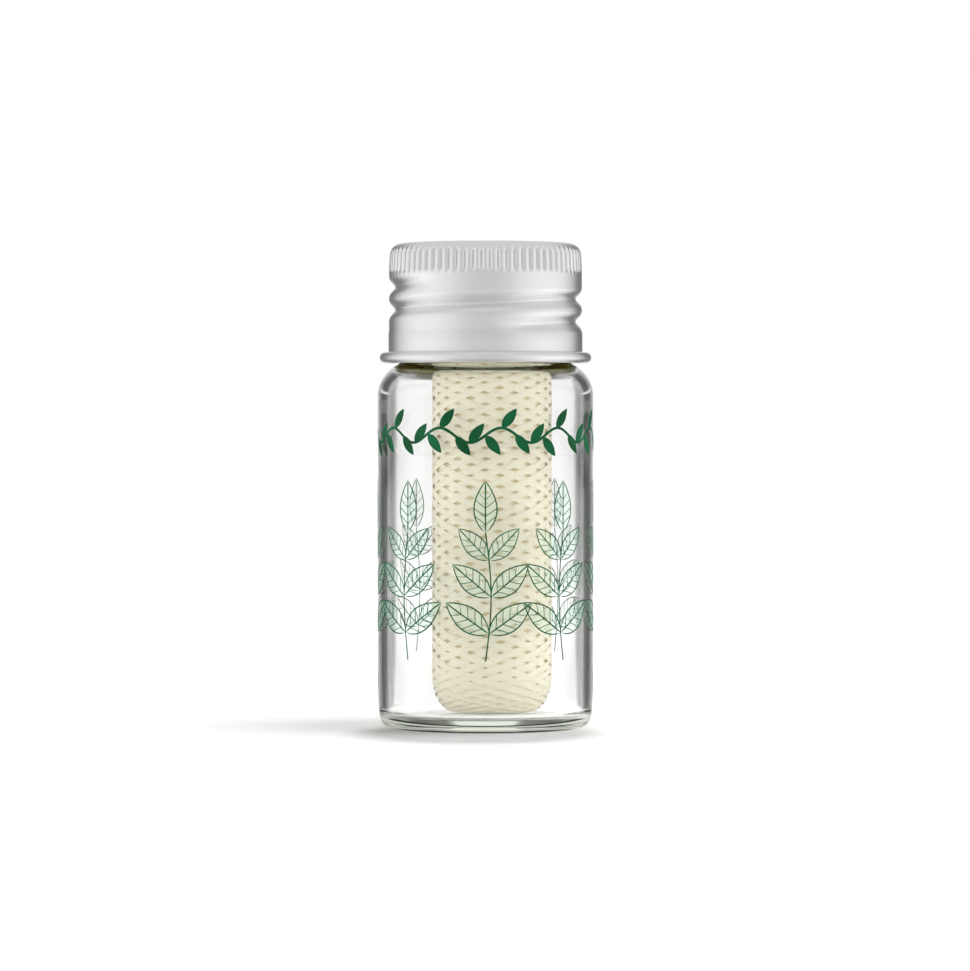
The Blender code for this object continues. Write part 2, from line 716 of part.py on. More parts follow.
def make_winding(parent):
    points = winding_points()
    gap = least_self_gap(points, FLOSS_DIAMETER) * MILLIMETRES_PER_METRE
    wanted = LEAST_SELF_GAP * MILLIMETRES_PER_METRE
    print(f"floss winding: {TOTAL_TURNS:.0f} turns, least gap to itself {gap:.3f} mm, over {wanted} mm")
    curve = tube_curve("floss_winding", points, FLOSS_DIAMETER, 1)
    add_part("floss_winding", curve, FLOSS, parent, PACKAGE_BOTTOM_Z)


def smooth_route(points, steps):
    """A Catmull-Rom curve through the points, which starts and ends along its first and last legs."""
    route = [np.array(point) for point in points]
    route = [2 * route[0] - route[1], *route, 2 * route[-1] - route[-2]]
    smooth = []
    for before, start, end, after in zip(route, route[1:], route[2:], route[3:]):
        for step in range(steps):
            t = step / steps
            smooth.append(
                0.5
                * (
                    2 * start
                    + (end - before) * t
                    + (2 * before - 5 * start + 4 * end - after) * t**2
                    + (3 * start - before - 3 * end + after) * t**3
                )
            )
    smooth.append(route[-2])
    return smooth


def lead_route():
    """From the package's last turn up through the deck's orifice, and under the cutter's tooth."""
    exit_radius = strand_exit()[1]
    start_z = PACKAGE_BOTTOM_Z + strand_exit()[2] + 2 * FLOSS_DIAMETER + FIT_GAP
    run = exit_radius - ORIFICE_OFFSET
    rise = DECK_BOTTOM_Z - start_z
    turning_points = [
        (PACKAGE_OFFSET * (1 - run_share), -exit_radius + run * run_share, start_z + rise * rise_share)
        for run_share, rise_share in LEAD_TURN_SHARES
    ]
    tail_z = DECK_TOP_Z + FIT_GAP + CLIP_SHEET + FIT_GAP + FLOSS_RADIUS
    tip_y = CLIP_OFFSET + TOOTH_LENGTH / 2 - TOOTH_REACH
    clip_end_x = CLIP_LENGTH / 2
    return [
        (PACKAGE_OFFSET, -exit_radius, start_z),
        (PACKAGE_OFFSET, -exit_radius, start_z + FLOSS_DIAMETER),
        *turning_points,
        (0.0, -ORIFICE_OFFSET, DECK_BOTTOM_Z),
        (0.0, -ORIFICE_OFFSET, DECK_TOP_Z),
        (0.0, CLIP_FRONT_Y - FLOSS_DIAMETER, tail_z + FLOSS_RADIUS),
        (0.0, tip_y - FLOSS_RADIUS, tail_z),
        (TOOTH_WIDTH / 2, tip_y, tail_z),
        (clip_end_x, tip_y, tail_z),
        (clip_end_x + 2 * FLOSS_DIAMETER, tip_y - FLOSS_RADIUS, tail_z),
    ]


def make_lead(parent):
    route = smooth_route(lead_route(), LEAD_STEPS)
    length = float(np.linalg.norm(np.diff(route, axis=0), axis=1).sum()) * MILLIMETRES_PER_METRE
    print(f"floss lead: {length:.1f} mm long")
    add_part("floss_lead", tube_curve("floss_lead", route, FLOSS_DIAMETER, 2), FLOSS, parent)


def shade_parts():
    for part in PARTS.objects:
        if part.type == "MESH":
            shade_round(part.data)


clear_scene()
PARTS = make_collection("Floss dispenser")
CUTTERS = make_collection("Cutters")
CUTTERS.hide_render = True

GLASS = make_material("Clear glass", (0.86, 0.91, 0.86), 0.02, transmission=1.0)
ALUMINIUM = make_material("Satin aluminium", (0.82, 0.82, 0.83), 0.38, metallic=1.0)
FOAM = make_material("White foam", (0.90, 0.90, 0.88), 0.85)
POLYETHYLENE = make_material("Natural polyethylene", (0.88, 0.88, 0.84), 0.45)
STEEL = make_material("Stainless steel", (0.62, 0.62, 0.63), 0.25, metallic=1.0)
FLOSS = make_material("Undyed floss", (0.80, 0.76, 0.60), 0.75)

VIAL_AXIS = make_axis("vial_axis", 0.0)
PACKAGE_AXIS = make_axis("package_axis", PACKAGE_BOTTOM_Z, VIAL_AXIS, PACKAGE_OFFSET)
LIFT_AXIS = make_axis("lift_axis", LINER_BOTTOM_Z, VIAL_AXIS)
CAP_AXIS = make_axis("cap_axis", CAP_BOTTOM_Z, VIAL_AXIS)

make_vial(VIAL_AXIS)
make_stopper(VIAL_AXIS)
make_clip(VIAL_AXIS)
make_lead(VIAL_AXIS)
make_core(PACKAGE_AXIS)
make_winding(PACKAGE_AXIS)
make_liner(LIFT_AXIS)
make_cap(CAP_AXIS)
shade_parts()
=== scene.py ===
"""A glass floss dispenser with its aluminium cap, every surface finished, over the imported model."""

import math

import bpy
import numpy as np
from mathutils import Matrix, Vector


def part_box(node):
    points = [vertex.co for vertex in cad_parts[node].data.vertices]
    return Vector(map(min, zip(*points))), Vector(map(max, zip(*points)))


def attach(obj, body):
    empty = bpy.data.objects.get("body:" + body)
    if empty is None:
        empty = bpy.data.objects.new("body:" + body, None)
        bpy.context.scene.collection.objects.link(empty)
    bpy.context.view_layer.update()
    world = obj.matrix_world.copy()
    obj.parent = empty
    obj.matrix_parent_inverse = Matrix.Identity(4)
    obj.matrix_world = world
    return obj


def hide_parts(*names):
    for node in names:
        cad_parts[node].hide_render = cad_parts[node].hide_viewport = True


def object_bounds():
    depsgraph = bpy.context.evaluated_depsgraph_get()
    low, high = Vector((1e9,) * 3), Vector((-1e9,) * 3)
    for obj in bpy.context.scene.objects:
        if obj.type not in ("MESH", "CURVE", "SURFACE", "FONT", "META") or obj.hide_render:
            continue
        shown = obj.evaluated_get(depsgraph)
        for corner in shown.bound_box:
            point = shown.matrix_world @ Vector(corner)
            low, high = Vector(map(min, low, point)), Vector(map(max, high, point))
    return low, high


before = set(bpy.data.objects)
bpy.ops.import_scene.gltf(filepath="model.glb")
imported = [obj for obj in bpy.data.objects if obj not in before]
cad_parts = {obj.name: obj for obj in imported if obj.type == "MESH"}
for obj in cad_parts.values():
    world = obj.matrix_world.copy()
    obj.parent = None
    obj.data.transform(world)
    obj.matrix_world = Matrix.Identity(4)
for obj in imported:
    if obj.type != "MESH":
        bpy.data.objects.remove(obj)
CAD_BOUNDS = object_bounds()

# Overall places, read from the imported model
VIAL_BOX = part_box("glass_vial")
CAP_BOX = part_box("screw_cap")
WINDING_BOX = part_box("floss_winding")
CORE_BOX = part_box("floss_core")
VIAL_RADIUS = VIAL_BOX[1].x
LIP_Z = VIAL_BOX[1].z
CAP_BOTTOM_Z = CAP_BOX[0].z
CAP_TOP_Z = CAP_BOX[1].z
PACKAGE_BOTTOM_Z = WINDING_BOX[0].z
PACKAGE_TOP_Z = CORE_BOX[1].z + CORE_BOX[0].z - PACKAGE_BOTTOM_Z

# Glass vial, whose heel is a quarter oval with a slight narrowing above it
VIAL_WALL = 0.00115
VIAL_FLOOR = 0.0016
BODY_HEIGHT = 0.041
HEEL_WIDTH = 0.0011
HEEL_HEIGHT = 0.0022
HEEL_NARROWING = 0.00018
HEEL_NARROWING_HEIGHT = 0.0055
FLOOR_CORNER_RADIUS = 0.0009
PUSH_UP_RADIUS = 0.0089
PUSH_UP_DEPTH = 0.0004
SHOULDER_RADIUS = 0.0043
SHOULDER_NORMAL_ANGLE = math.radians(62)
NECK_RADIUS = 0.01055
NECK_WALL = 0.00195
NECK_FILLET = 0.0004
BORE_EDGE_RADIUS = 0.0013
LIP_EDGE_RADIUS = 0.0005
EDGE_RING = 0.00015
GLASS_SEGMENTS = 192

# Screw thread, in turns counted from the +X side
THREAD_PITCH = 0.00282
THREAD_HEIGHT = 0.0008
THREAD_ROOT_WIDTH = 0.0013
THREAD_CREST_WIDTH = 0.0005
THREAD_TOP_DEPTH = 0.00113
THREAD_TURNS = (-0.15, 1.35)
FORMED_TURNS = (-0.25, 1.675)
FORMED_WIDTH = 0.0026
THREAD_FADE_TURNS = 0.09
FORMED_FADE_TURNS = 0.13
THREAD_ZERO_Z = LIP_Z - THREAD_TOP_DEPTH - THREAD_PITCH * THREAD_TURNS[1]
FORMED_ZERO_Z = THREAD_ZERO_Z - THREAD_PITCH / 2

# Aluminium cap
FIT_GAP = 0.0003
CAP_SHEET = 0.0003
CAP_CORNER_RADIUS = 0.0015
SKIRT_HEIGHT = 0.0039
SKIRT_STEP = 0.00007
SKIRT_STEP_HEIGHT = 0.0003
BEAD_RADIUS = 0.00069
BEAD_SWEEP_DEGREES = 285
KNURL_COUNT = 72
KNURL_DEPTH = 0.00045
KNURL_TOP_DEPTH = 0.0008
KNURL_LENGTH = 0.003
KNURL_END = 0.0005
KNURL_TAPER = 0.00012
FLUTE_SHARPNESS = 1.7
CAP_INNER_RADIUS = NECK_RADIUS + THREAD_HEIGHT + FIT_GAP
CAP_SEGMENTS = 8 * KNURL_COUNT

# Floss package, which stands a little to the right of the vial's axis
PACKAGE_OFFSET = 0.0008
PACKAGE_RADIUS = NECK_RADIUS - NECK_WALL - 0.00115
PACKAGE_FOOT_WIDTH = 0.0033
PACKAGE_FOOT_HEIGHT = 0.0044
PACKAGE_HEAD_WIDTH = 0.0010
PACKAGE_HEAD_HEIGHT = 0.0014
FLOSS_STARTS = 13
ROUND_TRIP_TURNS = 5 + 8 / FLOSS_STARTS
HEAD_SPEED = 0.5
HEAD_SLOW_TURNS = 0.2
FOOT_SPEED = 0.27
FOOT_SLOW_TURNS = 1.1
STRAND_WIDTH = 0.00088
STRAND_THICKNESS = 0.00014
STRAND_LEVEL = 0.00006
STRAND_WANDER = 0.00006
STRAND_SIDES = 10
CROSSING_SAMPLES = 3
STRAND_END_DEPTH = 0.0002
STRAND_END_SHARE = 0.4
STRAND_END_HEIGHT = 0.0012
FLAT_NORMAL = 0.9

# Free end of the floss, from the package up through the stopper's orifice and under the cutter
LEAD_POINTS_MM = (
    (0.8, -5.361, 46.58), (0.8, -5.361, 48.224), (0.52, -3.939, 50.228), (0.12, -1.907, 51.731),
    (0.0, -1.297, 52.733), (0.0, -1.297, 53.633), (0.0, 0.499, 55.233), (0.0, 2.581, 54.883),
    (0.9, 2.931, 54.883), (3.289, 2.931, 54.883), (4.689, 2.581, 54.883),
)
LEAD_RADIUS = 0.00027
MILLIMETRE = 0.001

# Printed ornament, flat on the vial's outside
PRINT_LIFT = 0.00002
INK_THICKNESS = 0.00001
LINE_WIDTH = 0.00017
VEIN_WIDTH = 0.00012
LEAF_LENGTH = 0.0066
LEAF_WIDTH = 0.0031
SPRIG_DEGREES = (-135, -90, -45, 0, 45, 90, 135, 180)
SPRIG_FOOT_Z = 0.0088
SPRIG_HEIGHT = 0.0156
GARLAND_Z = 0.0362
GARLAND_REACH = math.radians(86)
GARLAND_WAVE = 0.0009
GARLAND_LEAVES = 21
GARLAND_LEAF_LENGTH = 0.0030
GARLAND_LEAF_WIDTH = 0.00125

# Camera, in the photograph's frame
PHOTO_WIDTH = 970
FOCAL_PIXELS = 4514
EYE_DISTANCE = 0.560
EYE_HEIGHT = 0.0397
EYE_SIDE = -0.00006
AIM_HEIGHT = 0.0299

# Studio, its ring's levels by degrees from straight behind the vial round to the front
RING_LEVELS = (
    (0, 0.94), (11, 0.94), (13.5, 0.34), (16, 0.19), (24, 0.14), (31, 0.10), (38, 0.09),
    (48, 0.42), (60, 0.74), (80, 0.91), (98, 0.96), (122, 0.92), (142, 0.79), (160, 0.61),
    (180, 0.58),
)
DIRECT_LEVEL = 0.40
BACKDROP_LEVEL = 0.86
BACKDROP_EDGE = (0.030, 0.042)
BACKDROP_TOP = (0.068, 0.082)
OVERHEAD_LEVEL = 0.72
OVERHEAD_EDGE = (0.35, 0.65)
FLOOR_COLOUR = 0.61
FLOOR_FAR_GLOW = 0.85
# Painted light on the floor, seen only in glass and metal: a glow and a brighter level under the vial
FLOOR_GLOW_UNDER_GLASS = 0.62
FLOOR_LEVEL_UNDER_GLASS = 0.92
FLOOR_NEAR_GLOW_IN_GLASS = 0.05
FLOOR_FAR_GLOW_IN_GLASS = 0.80
FLOOR_SIZE = 6.0
GLOW_EDGE = (0.04, 0.45)
UNDER_GLASS_EDGE = (0.0135, 0.021)

# Lamps: name, place, width, power in watts and spread in degrees
LAMPS = (
    ("key_softbox", (0.10, 0.0, 0.42), 0.12, 1.0, 180),
    ("top_softbox", (0.01, 0.12, 0.50), 0.05, 1.85, 180),
    ("front_softbox", (-0.05, -0.50, 0.12), 0.30, 0.9, 180),
    ("left_softbox", (-0.35, -0.10, 0.05), 0.10, 0.056, 60),
    ("right_softbox", (0.35, -0.10, 0.05), 0.10, 0.064, 60),
)


def arc(centre_r, centre_z, radius, start_degrees, end_degrees, steps):
    """Points of an arc in the (radius, height) plane; angles run from outward towards up."""
    angles = np.radians(np.linspace(start_degrees, end_degrees, steps + 1))
    return [(centre_r + radius * math.cos(a), centre_z + radius * math.sin(a)) for a in angles]


def stretch(start, end, steps):
    """Points evenly along a straight run, without its two ends."""
    shares = np.linspace(0, 1, steps + 1)[1:-1]
    return [tuple(np.array(start) * (1 - s) + np.array(end) * s) for s in shares]


def turned(name, outline, segments, close_end=True):
    """A ring is added at the outline's first point and pulled along the rest, with closed ends."""
    bpy.ops.object.select_all(action="DESELECT")
    radius, height = outline[0]
    bpy.ops.mesh.primitive_circle_add(
        vertices=segments, radius=radius, fill_type="TRIFAN", location=(0, 0, height)
    )
    piece = bpy.context.object
    piece.name = name
    bpy.ops.object.mode_set(mode="EDIT")
    bpy.ops.mesh.select_all(action="SELECT")
    bpy.ops.mesh.region_to_loop()
    for next_radius, next_height in outline[1:]:
        bpy.ops.mesh.extrude_edges_move(
            TRANSFORM_OT_translate={"value": (0, 0, next_height - height)}
        )
        growth = next_radius / radius
        bpy.ops.transform.resize(value=(growth, growth, 1), center_override=(0, 0, next_height))
        radius, height = next_radius, next_height
    if close_end:
        bpy.ops.mesh.edge_face_add()
        bpy.ops.mesh.poke()
    bpy.ops.mesh.select_all(action="SELECT")
    bpy.ops.mesh.normals_make_consistent(inside=False)
    bpy.ops.object.mode_set(mode="OBJECT")
    bpy.ops.object.transform_apply(location=True, rotation=True, scale=True)
    return piece


def read_points(piece):
    points = np.empty(len(piece.data.vertices) * 3, np.float32)
    piece.data.vertices.foreach_get("co", points)
    return points.reshape(-1, 3).astype(float)


def write_points(piece, points):
    piece.data.vertices.foreach_set("co", points.astype(np.float32).ravel())
    piece.data.update()


def smooth_step(share):
    share = np.clip(share, 0, 1)
    return share * share * (3 - 2 * share)


def push_out(points, distance):
    """Moves each point outward from the axis by its distance."""
    radius = np.hypot(points[:, 0], points[:, 1])
    growth = 1 + distance / np.maximum(radius, FIT_GAP)
    points[:, 0] *= growth
    points[:, 1] *= growth


def thread_form(points, turns, zero_z, half_width, fade, profile):
    """How much of the thread's height each point gets, by its profile and its fade at both ends."""
    angle_turns = np.arctan2(points[:, 1], points[:, 0]) / math.tau
    rise = (points[:, 2] - zero_z) / THREAD_PITCH
    travelled = angle_turns + np.round(rise - angle_turns)
    across = (rise - travelled) * THREAD_PITCH / half_width
    to_end = np.minimum(travelled - turns[0], turns[1] - travelled)
    return profile(np.abs(across)) * smooth_step(to_end / fade)


def pick(piece):
    bpy.ops.object.select_all(action="DESELECT")
    piece.select_set(True)
    bpy.context.view_layer.objects.active = piece


def smooth_shade(piece, degrees=35):
    pick(piece)
    bpy.ops.object.shade_smooth_by_angle(angle=math.radians(degrees))


def apply_modifiers(piece):
    pick(piece)
    for modifier in list(piece.modifiers):
        bpy.ops.object.modifier_apply(modifier=modifier.name)


def dress(piece, body, material, slot, *nodes):
    """Gives a piece its finish and its body, and lets it stand for its CAD nodes."""
    piece.data.materials.clear()
    piece.data.materials.append(material)
    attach(piece, body)
    if nodes:
        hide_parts(*nodes)


def add_node(tree, kind, inputs=None, **settings):
    node = tree.nodes.new(kind)
    for key, value in settings.items():
        setattr(node, key, value)
    for key, value in (inputs or {}).items():
        node.inputs[key].default_value = value
    return node


def new_material(name):
    material = bpy.data.materials.new(name)
    material.use_nodes = True
    tree = material.node_tree
    return material, tree, tree.nodes["Principled BSDF"]


def new_group(name, inputs, outputs):
    """An empty shader node group; inputs and outputs are (name, kind, plain value)."""
    tree = bpy.data.node_groups.new(name, "ShaderNodeTree")
    for direction, sockets in (("INPUT", inputs), ("OUTPUT", outputs)):
        for socket_name, kind, value in sockets:
            socket = tree.interface.new_socket(socket_name, in_out=direction, socket_type=kind)
            if value is not None:
                socket.default_value = value
    return tree, tree.nodes.new("NodeGroupInput"), tree.nodes.new("NodeGroupOutput")


def ramp(node, stops):
    """Sets a colour ramp's stops, each (position, grey level or colour)."""
    elements = node.color_ramp.elements
    while len(elements) > 1:
        elements.remove(elements[0])
    for index, (position, colour) in enumerate(stops):
        element = elements[0] if index == 0 else elements.new(position)
        element.position = position
        element.color = (*colour, 1) if isinstance(colour, tuple) else (colour, colour, colour, 1)


# Materials
def clear_glass():
    """Clear soda glass that lets lamps through, faintly green where the light's way is long."""
    material, tree, shader = new_material("clear_glass")
    shader.inputs["Base Color"].default_value = (1, 1, 1, 1)
    shader.inputs["Roughness"].default_value = 0.0
    shader.inputs["IOR"].default_value = 1.52
    shader.inputs["Transmission Weight"].default_value = 1.0
    path = add_node(tree, "ShaderNodeLightPath")
    soft_light = add_node(tree, "ShaderNodeMath", operation="MAXIMUM")
    tree.links.new(path.outputs["Is Shadow Ray"], soft_light.inputs[0])
    tree.links.new(path.outputs["Is Diffuse Ray"], soft_light.inputs[1])
    through = add_node(tree, "ShaderNodeBsdfTransparent", {"Color": (0.95, 0.96, 0.95, 1)})
    mix = add_node(tree, "ShaderNodeMixShader")
    tree.links.new(soft_light.outputs[0], mix.inputs["Fac"])
    tree.links.new(shader.outputs["BSDF"], mix.inputs[1])
    tree.links.new(through.outputs["BSDF"], mix.inputs[2])
    output = tree.nodes["Material Output"]
    tree.links.new(mix.outputs["Shader"], output.inputs["Surface"])
    absorption = add_node(
        tree, "ShaderNodeVolumeAbsorption", {"Color": (0.62, 0.74, 0.44, 1), "Density": 14.0}
    )
    tree.links.new(absorption.outputs["Volume"], output.inputs["Volume"])
    return material


def satin_aluminium():
    """Drawn sheet, finely matt and a little uneven in gloss, with golden lacquer on its inside."""
    material, tree, shader = new_material("satin_aluminium")
    place = add_node(tree, "ShaderNodeTexCoord")
    grain = add_node(tree, "ShaderNodeTexNoise", {"Scale": 9000.0, "Detail": 2.0})
    tree.links.new(place.outputs["Object"], grain.inputs["Vector"])
    cloud = add_node(tree, "ShaderNodeTexNoise", {"Scale": 160.0, "Detail": 2.0})
    tree.links.new(place.outputs["Object"], cloud.inputs["Vector"])
    inside = add_node(tree, "ShaderNodeAttribute", attribute_name="lacquer")
    gloss = add_node(tree, "ShaderNodeMapRange", {"To Min": 0.26, "To Max": 0.38})
    tree.links.new(cloud.outputs["Fac"], gloss.inputs["Value"])
    tree.links.new(gloss.outputs["Result"], shader.inputs["Roughness"])
    metal = add_node(tree, "ShaderNodeMapRange", {"To Min": 1.0, "To Max": 0.25})
    tree.links.new(inside.outputs["Fac"], metal.inputs["Value"])
    tree.links.new(metal.outputs["Result"], shader.inputs["Metallic"])
    tone = add_node(tree, "ShaderNodeValToRGB")
    ramp(tone, ((0.3, (0.83, 0.83, 0.84)), (0.7, (0.88, 0.88, 0.885))))
    tree.links.new(grain.outputs["Fac"], tone.inputs["Fac"])
    lacquered = add_node(tree, "ShaderNodeMix", data_type="RGBA")
    lacquered.inputs[7].default_value = (0.60, 0.53, 0.12, 1)
    tree.links.new(inside.outputs["Fac"], lacquered.inputs[0])
    tree.links.new(tone.outputs["Color"], lacquered.inputs[6])
    tree.links.new(lacquered.outputs[2], shader.inputs["Base Color"])
    bump = add_node(tree, "ShaderNodeBump", {"Strength": 0.12, "Distance": 0.000004})
    tree.links.new(grain.outputs["Fac"], bump.inputs["Height"])
    tree.links.new(bump.outputs["Normal"], shader.inputs["Normal"])
    return material


def floss_thread():
    """Undyed waxed yarn: filaments along the strand, with painted shade, darker and warmer, in the
    hollows between them.
    """
    material, tree, shader = new_material("floss_thread")
    shader.inputs["Roughness"].default_value = 0.55
    shader.inputs["Specular IOR Level"].default_value = 0.3
    shader.inputs["Sheen Weight"].default_value = 0.1
    place = add_node(tree, "ShaderNodeTexCoord")
    along = add_node(tree, "ShaderNodeMapping", {"Scale": (9, 900, 1)})
    tree.links.new(place.outputs["UV"], along.inputs["Vector"])
    filaments = add_node(
        tree, "ShaderNodeTexNoise", {"Scale": 1.0, "Detail": 3.0, "Roughness": 0.6}
    )
    tree.links.new(along.outputs["Vector"], filaments.inputs["Vector"])
    # Painted shade: the tone is darkest and warmest where the filaments' relief is lowest
    tone = add_node(tree, "ShaderNodeValToRGB")
    ramp(
        tone,
        ((0.25, (0.82, 0.74, 0.54)), (0.55, (0.89, 0.83, 0.66)), (0.8, (0.92, 0.87, 0.73))),
    )
    tree.links.new(filaments.outputs["Fac"], tone.inputs["Fac"])
    tree.links.new(tone.outputs["Color"], shader.inputs["Base Color"])
    bump = add_node(tree, "ShaderNodeBump", {"Strength": 0.35, "Distance": 0.00004})
    tree.links.new(filaments.outputs["Fac"], bump.inputs["Height"])
    tree.links.new(bump.outputs["Normal"], shader.inputs["Normal"])
    return material


def floss_inner_painted_shade():
    """The layers below, seen only through the gaps, painted darker and warmer than the yarn: painted
    shade in the gaps, and painted light warmed through the yarn.
    """
    material, tree, shader = new_material("floss_inner_painted_shade")
    shader.inputs["Roughness"].default_value = 0.8
    place = add_node(tree, "ShaderNodeTexCoord")
    turns = add_node(tree, "ShaderNodeMapping", {"Scale": (500, 500, 3500)})
    tree.links.new(place.outputs["Object"], turns.inputs["Vector"])
    yarn = add_node(tree, "ShaderNodeTexNoise", {"Scale": 1.0, "Detail": 2.0})
    tree.links.new(turns.outputs["Vector"], yarn.inputs["Vector"])
    # Painted shade of the gaps: darker and warmer than the yarn's own cream
    tone = add_node(tree, "ShaderNodeValToRGB")
    ramp(tone, ((0.3, (0.62, 0.50, 0.25)), (0.7, (0.82, 0.72, 0.46))))
    tree.links.new(yarn.outputs["Fac"], tone.inputs["Fac"])
    tree.links.new(tone.outputs["Color"], shader.inputs["Base Color"])
    return material


def floss_ends():
    """The package's two end faces, where the turns lie side by side as rings of yarn, with painted
    shade, darker and warmer, in the grooves between the rings.
    """
    material, tree, shader = new_material("floss_ends")
    shader.inputs["Roughness"].default_value = 0.6
    place = add_node(tree, "ShaderNodeTexCoord")
    centred = add_node(tree, "ShaderNodeMapping", {"Location": (-PACKAGE_OFFSET, 0, 0)})
    tree.links.new(place.outputs["Object"], centred.inputs["Vector"])
    rings = add_node(
        tree, "ShaderNodeTexWave",
        {"Scale": 700.0, "Distortion": 2.5, "Detail": 2.0, "Detail Scale": 1.5},
        wave_type="RINGS", rings_direction="Z",
    )
    tree.links.new(centred.outputs["Vector"], rings.inputs["Vector"])
    # Painted shade: the tone is darkest and warmest where the rings' relief is lowest
    tone = add_node(tree, "ShaderNodeValToRGB")
    ramp(tone, ((0.1, (0.74, 0.65, 0.42)), (0.6, (0.88, 0.82, 0.64))))
    tree.links.new(rings.outputs["Fac"], tone.inputs["Fac"])
    tree.links.new(tone.outputs["Color"], shader.inputs["Base Color"])
    bump = add_node(tree, "ShaderNodeBump", {"Strength": 0.5, "Distance": 0.00006})
    tree.links.new(rings.outputs["Fac"], bump.inputs["Height"])
    tree.links.new(bump.outputs["Normal"], shader.inputs["Normal"])
    return material


def mottled(name, dark, pale, scale, roughness, metallic=0.0, relief=0.0, stretched=1.0):
    """A finish that varies a little in tone, gloss and relief, as moulded or rolled stock does."""
    material, tree, shader = new_material(name)
    shader.inputs["Metallic"].default_value = metallic
    place = add_node(tree, "ShaderNodeTexCoord")
    size = add_node(tree, "ShaderNodeMapping", {"Scale": (scale, scale * stretched, scale)})
    tree.links.new(place.outputs["Object"], size.inputs["Vector"])
    cloud = add_node(tree, "ShaderNodeTexNoise", {"Scale": 1.0, "Detail": 4.0})
    tree.links.new(size.outputs["Vector"], cloud.inputs["Vector"])
    tone = add_node(tree, "ShaderNodeValToRGB")
    ramp(tone, ((0.35, dark), (0.65, pale)))
    tree.links.new(cloud.outputs["Fac"], tone.inputs["Fac"])
    tree.links.new(tone.outputs["Color"], shader.inputs["Base Color"])
    gloss_ends = {"To Min": roughness * 0.8, "To Max": roughness * 1.2}
    gloss = add_node(tree, "ShaderNodeMapRange", gloss_ends)
    tree.links.new(cloud.outputs["Fac"], gloss.inputs["Value"])
    tree.links.new(gloss.outputs["Result"], shader.inputs["Roughness"])
    bump = add_node(tree, "ShaderNodeBump", {"Strength": 0.4, "Distance": relief})
    tree.links.new(cloud.outputs["Fac"], bump.inputs["Height"])
    tree.links.new(bump.outputs["Normal"], shader.inputs["Normal"])
    return material


def print_tint():
    """The thin pale fill of the printed leaves, which the glass shows through."""
    material = mottled("mint_print", (0.42, 0.80, 0.60), (0.50, 0.86, 0.68), 400.0, 0.4)
    material.node_tree.nodes["Principled BSDF"].inputs["Alpha"].default_value = 0.1
    return material


# Glass vial
def shoulder(wall_radius, neck_radius, wall_arc, neck_arc, steps):
    """From the neck down to the straight wall: arc, straight slope, arc."""
    turn = math.degrees(SHOULDER_NORMAL_ANGLE)
    normal = SHOULDER_NORMAL_ANGLE
    slope_width = wall_radius - neck_radius - (wall_arc + neck_arc) * (1 - math.cos(normal))
    neck_z = BODY_HEIGHT + (wall_arc + neck_arc) * math.sin(normal)
    neck_z += slope_width / math.tan(normal)
    upper = arc(neck_radius + neck_arc, neck_z, neck_arc, 180, 180 + turn, steps)
    lower = arc(wall_radius - wall_arc, BODY_HEIGHT, wall_arc, turn, 0, 2 * steps)
    return upper + stretch(upper[-1], lower[0], 4) + lower


def vial_outline():
    inner_radius = VIAL_RADIUS - VIAL_WALL
    bore = NECK_RADIUS - NECK_WALL
    floor = arc(
        inner_radius - FLOOR_CORNER_RADIUS, VIAL_FLOOR + FLOOR_CORNER_RADIUS,
        FLOOR_CORNER_RADIUS, -90, 0, 12,
    )
    inner = shoulder(inner_radius, bore, SHOULDER_RADIUS - VIAL_WALL, BORE_EDGE_RADIUS, 10)[::-1]
    lip_z = LIP_Z - LIP_EDGE_RADIUS
    lip = arc(bore + LIP_EDGE_RADIUS, lip_z, LIP_EDGE_RADIUS, 180, 90, 5)
    lip += arc(NECK_RADIUS - LIP_EDGE_RADIUS, lip_z, LIP_EDGE_RADIUS, 90, 0, 5)
    outer = shoulder(VIAL_RADIUS, NECK_RADIUS, SHOULDER_RADIUS, NECK_FILLET, 12)
    heel = [
        (VIAL_RADIUS + HEEL_WIDTH * (turn_r - 1), HEEL_HEIGHT * (1 + turn_z))
        for turn_r, turn_z in arc(0, 0, 1, 0, -90, 14)
    ]
    ring = (PUSH_UP_RADIUS, 0.0)
    push_up = [
        (PUSH_UP_RADIUS * (1 - share), PUSH_UP_DEPTH * float(smooth_step(2 * share)))
        for share in (0.1, 0.2, 0.3, 0.4, 0.5, 0.8)
    ]
    beside_corner = [(floor[0][0] - EDGE_RING, VIAL_FLOOR)]
    beside_heel = [(heel[-1][0] - EDGE_RING, 0.0), (PUSH_UP_RADIUS + EDGE_RING, 0.0)]
    return (
        [(inner_radius / 4, VIAL_FLOOR), (inner_radius / 2, VIAL_FLOOR)]
        + beside_corner + floor + stretch(floor[-1], inner[0], 8)
        + inner + stretch(inner[-1], lip[0], 8)
        + lip + stretch(lip[-1], outer[0], 90)
        + outer + stretch(outer[-1], heel[0], 40)
        + heel + beside_heel + [ring] + push_up
    )


def crest(across):
    """A thread's flat crest and straight flanks, from 1 to 0."""
    land = THREAD_CREST_WIDTH / THREAD_ROOT_WIDTH
    return smooth_step((1 - across) / (1 - land))


def make_vial(material):
    vial = turned("vial_glass", vial_outline(), GLASS_SEGMENTS)
    points = read_points(vial)
    radius = np.hypot(points[:, 0], points[:, 1])
    on_neck = np.abs(radius - NECK_RADIUS) < FIT_GAP / 10
    on_neck &= points[:, 2] < LIP_Z - LIP_EDGE_RADIUS
    form = thread_form(
        points, THREAD_TURNS, THREAD_ZERO_Z, THREAD_ROOT_WIDTH / 2, THREAD_FADE_TURNS, crest
    )
    outward = np.where(on_neck, THREAD_HEIGHT * form, 0.0)
    low = smooth_step(1 - points[:, 2] / HEEL_NARROWING_HEIGHT)
    outward -= np.where(radius > PUSH_UP_RADIUS, HEEL_NARROWING * low, 0.0)
    push_out(points, outward)
    write_points(vial, points)
    smooth_shade(vial, 60)
    dress(vial, "vial", material, "clear_glass", "glass_vial")


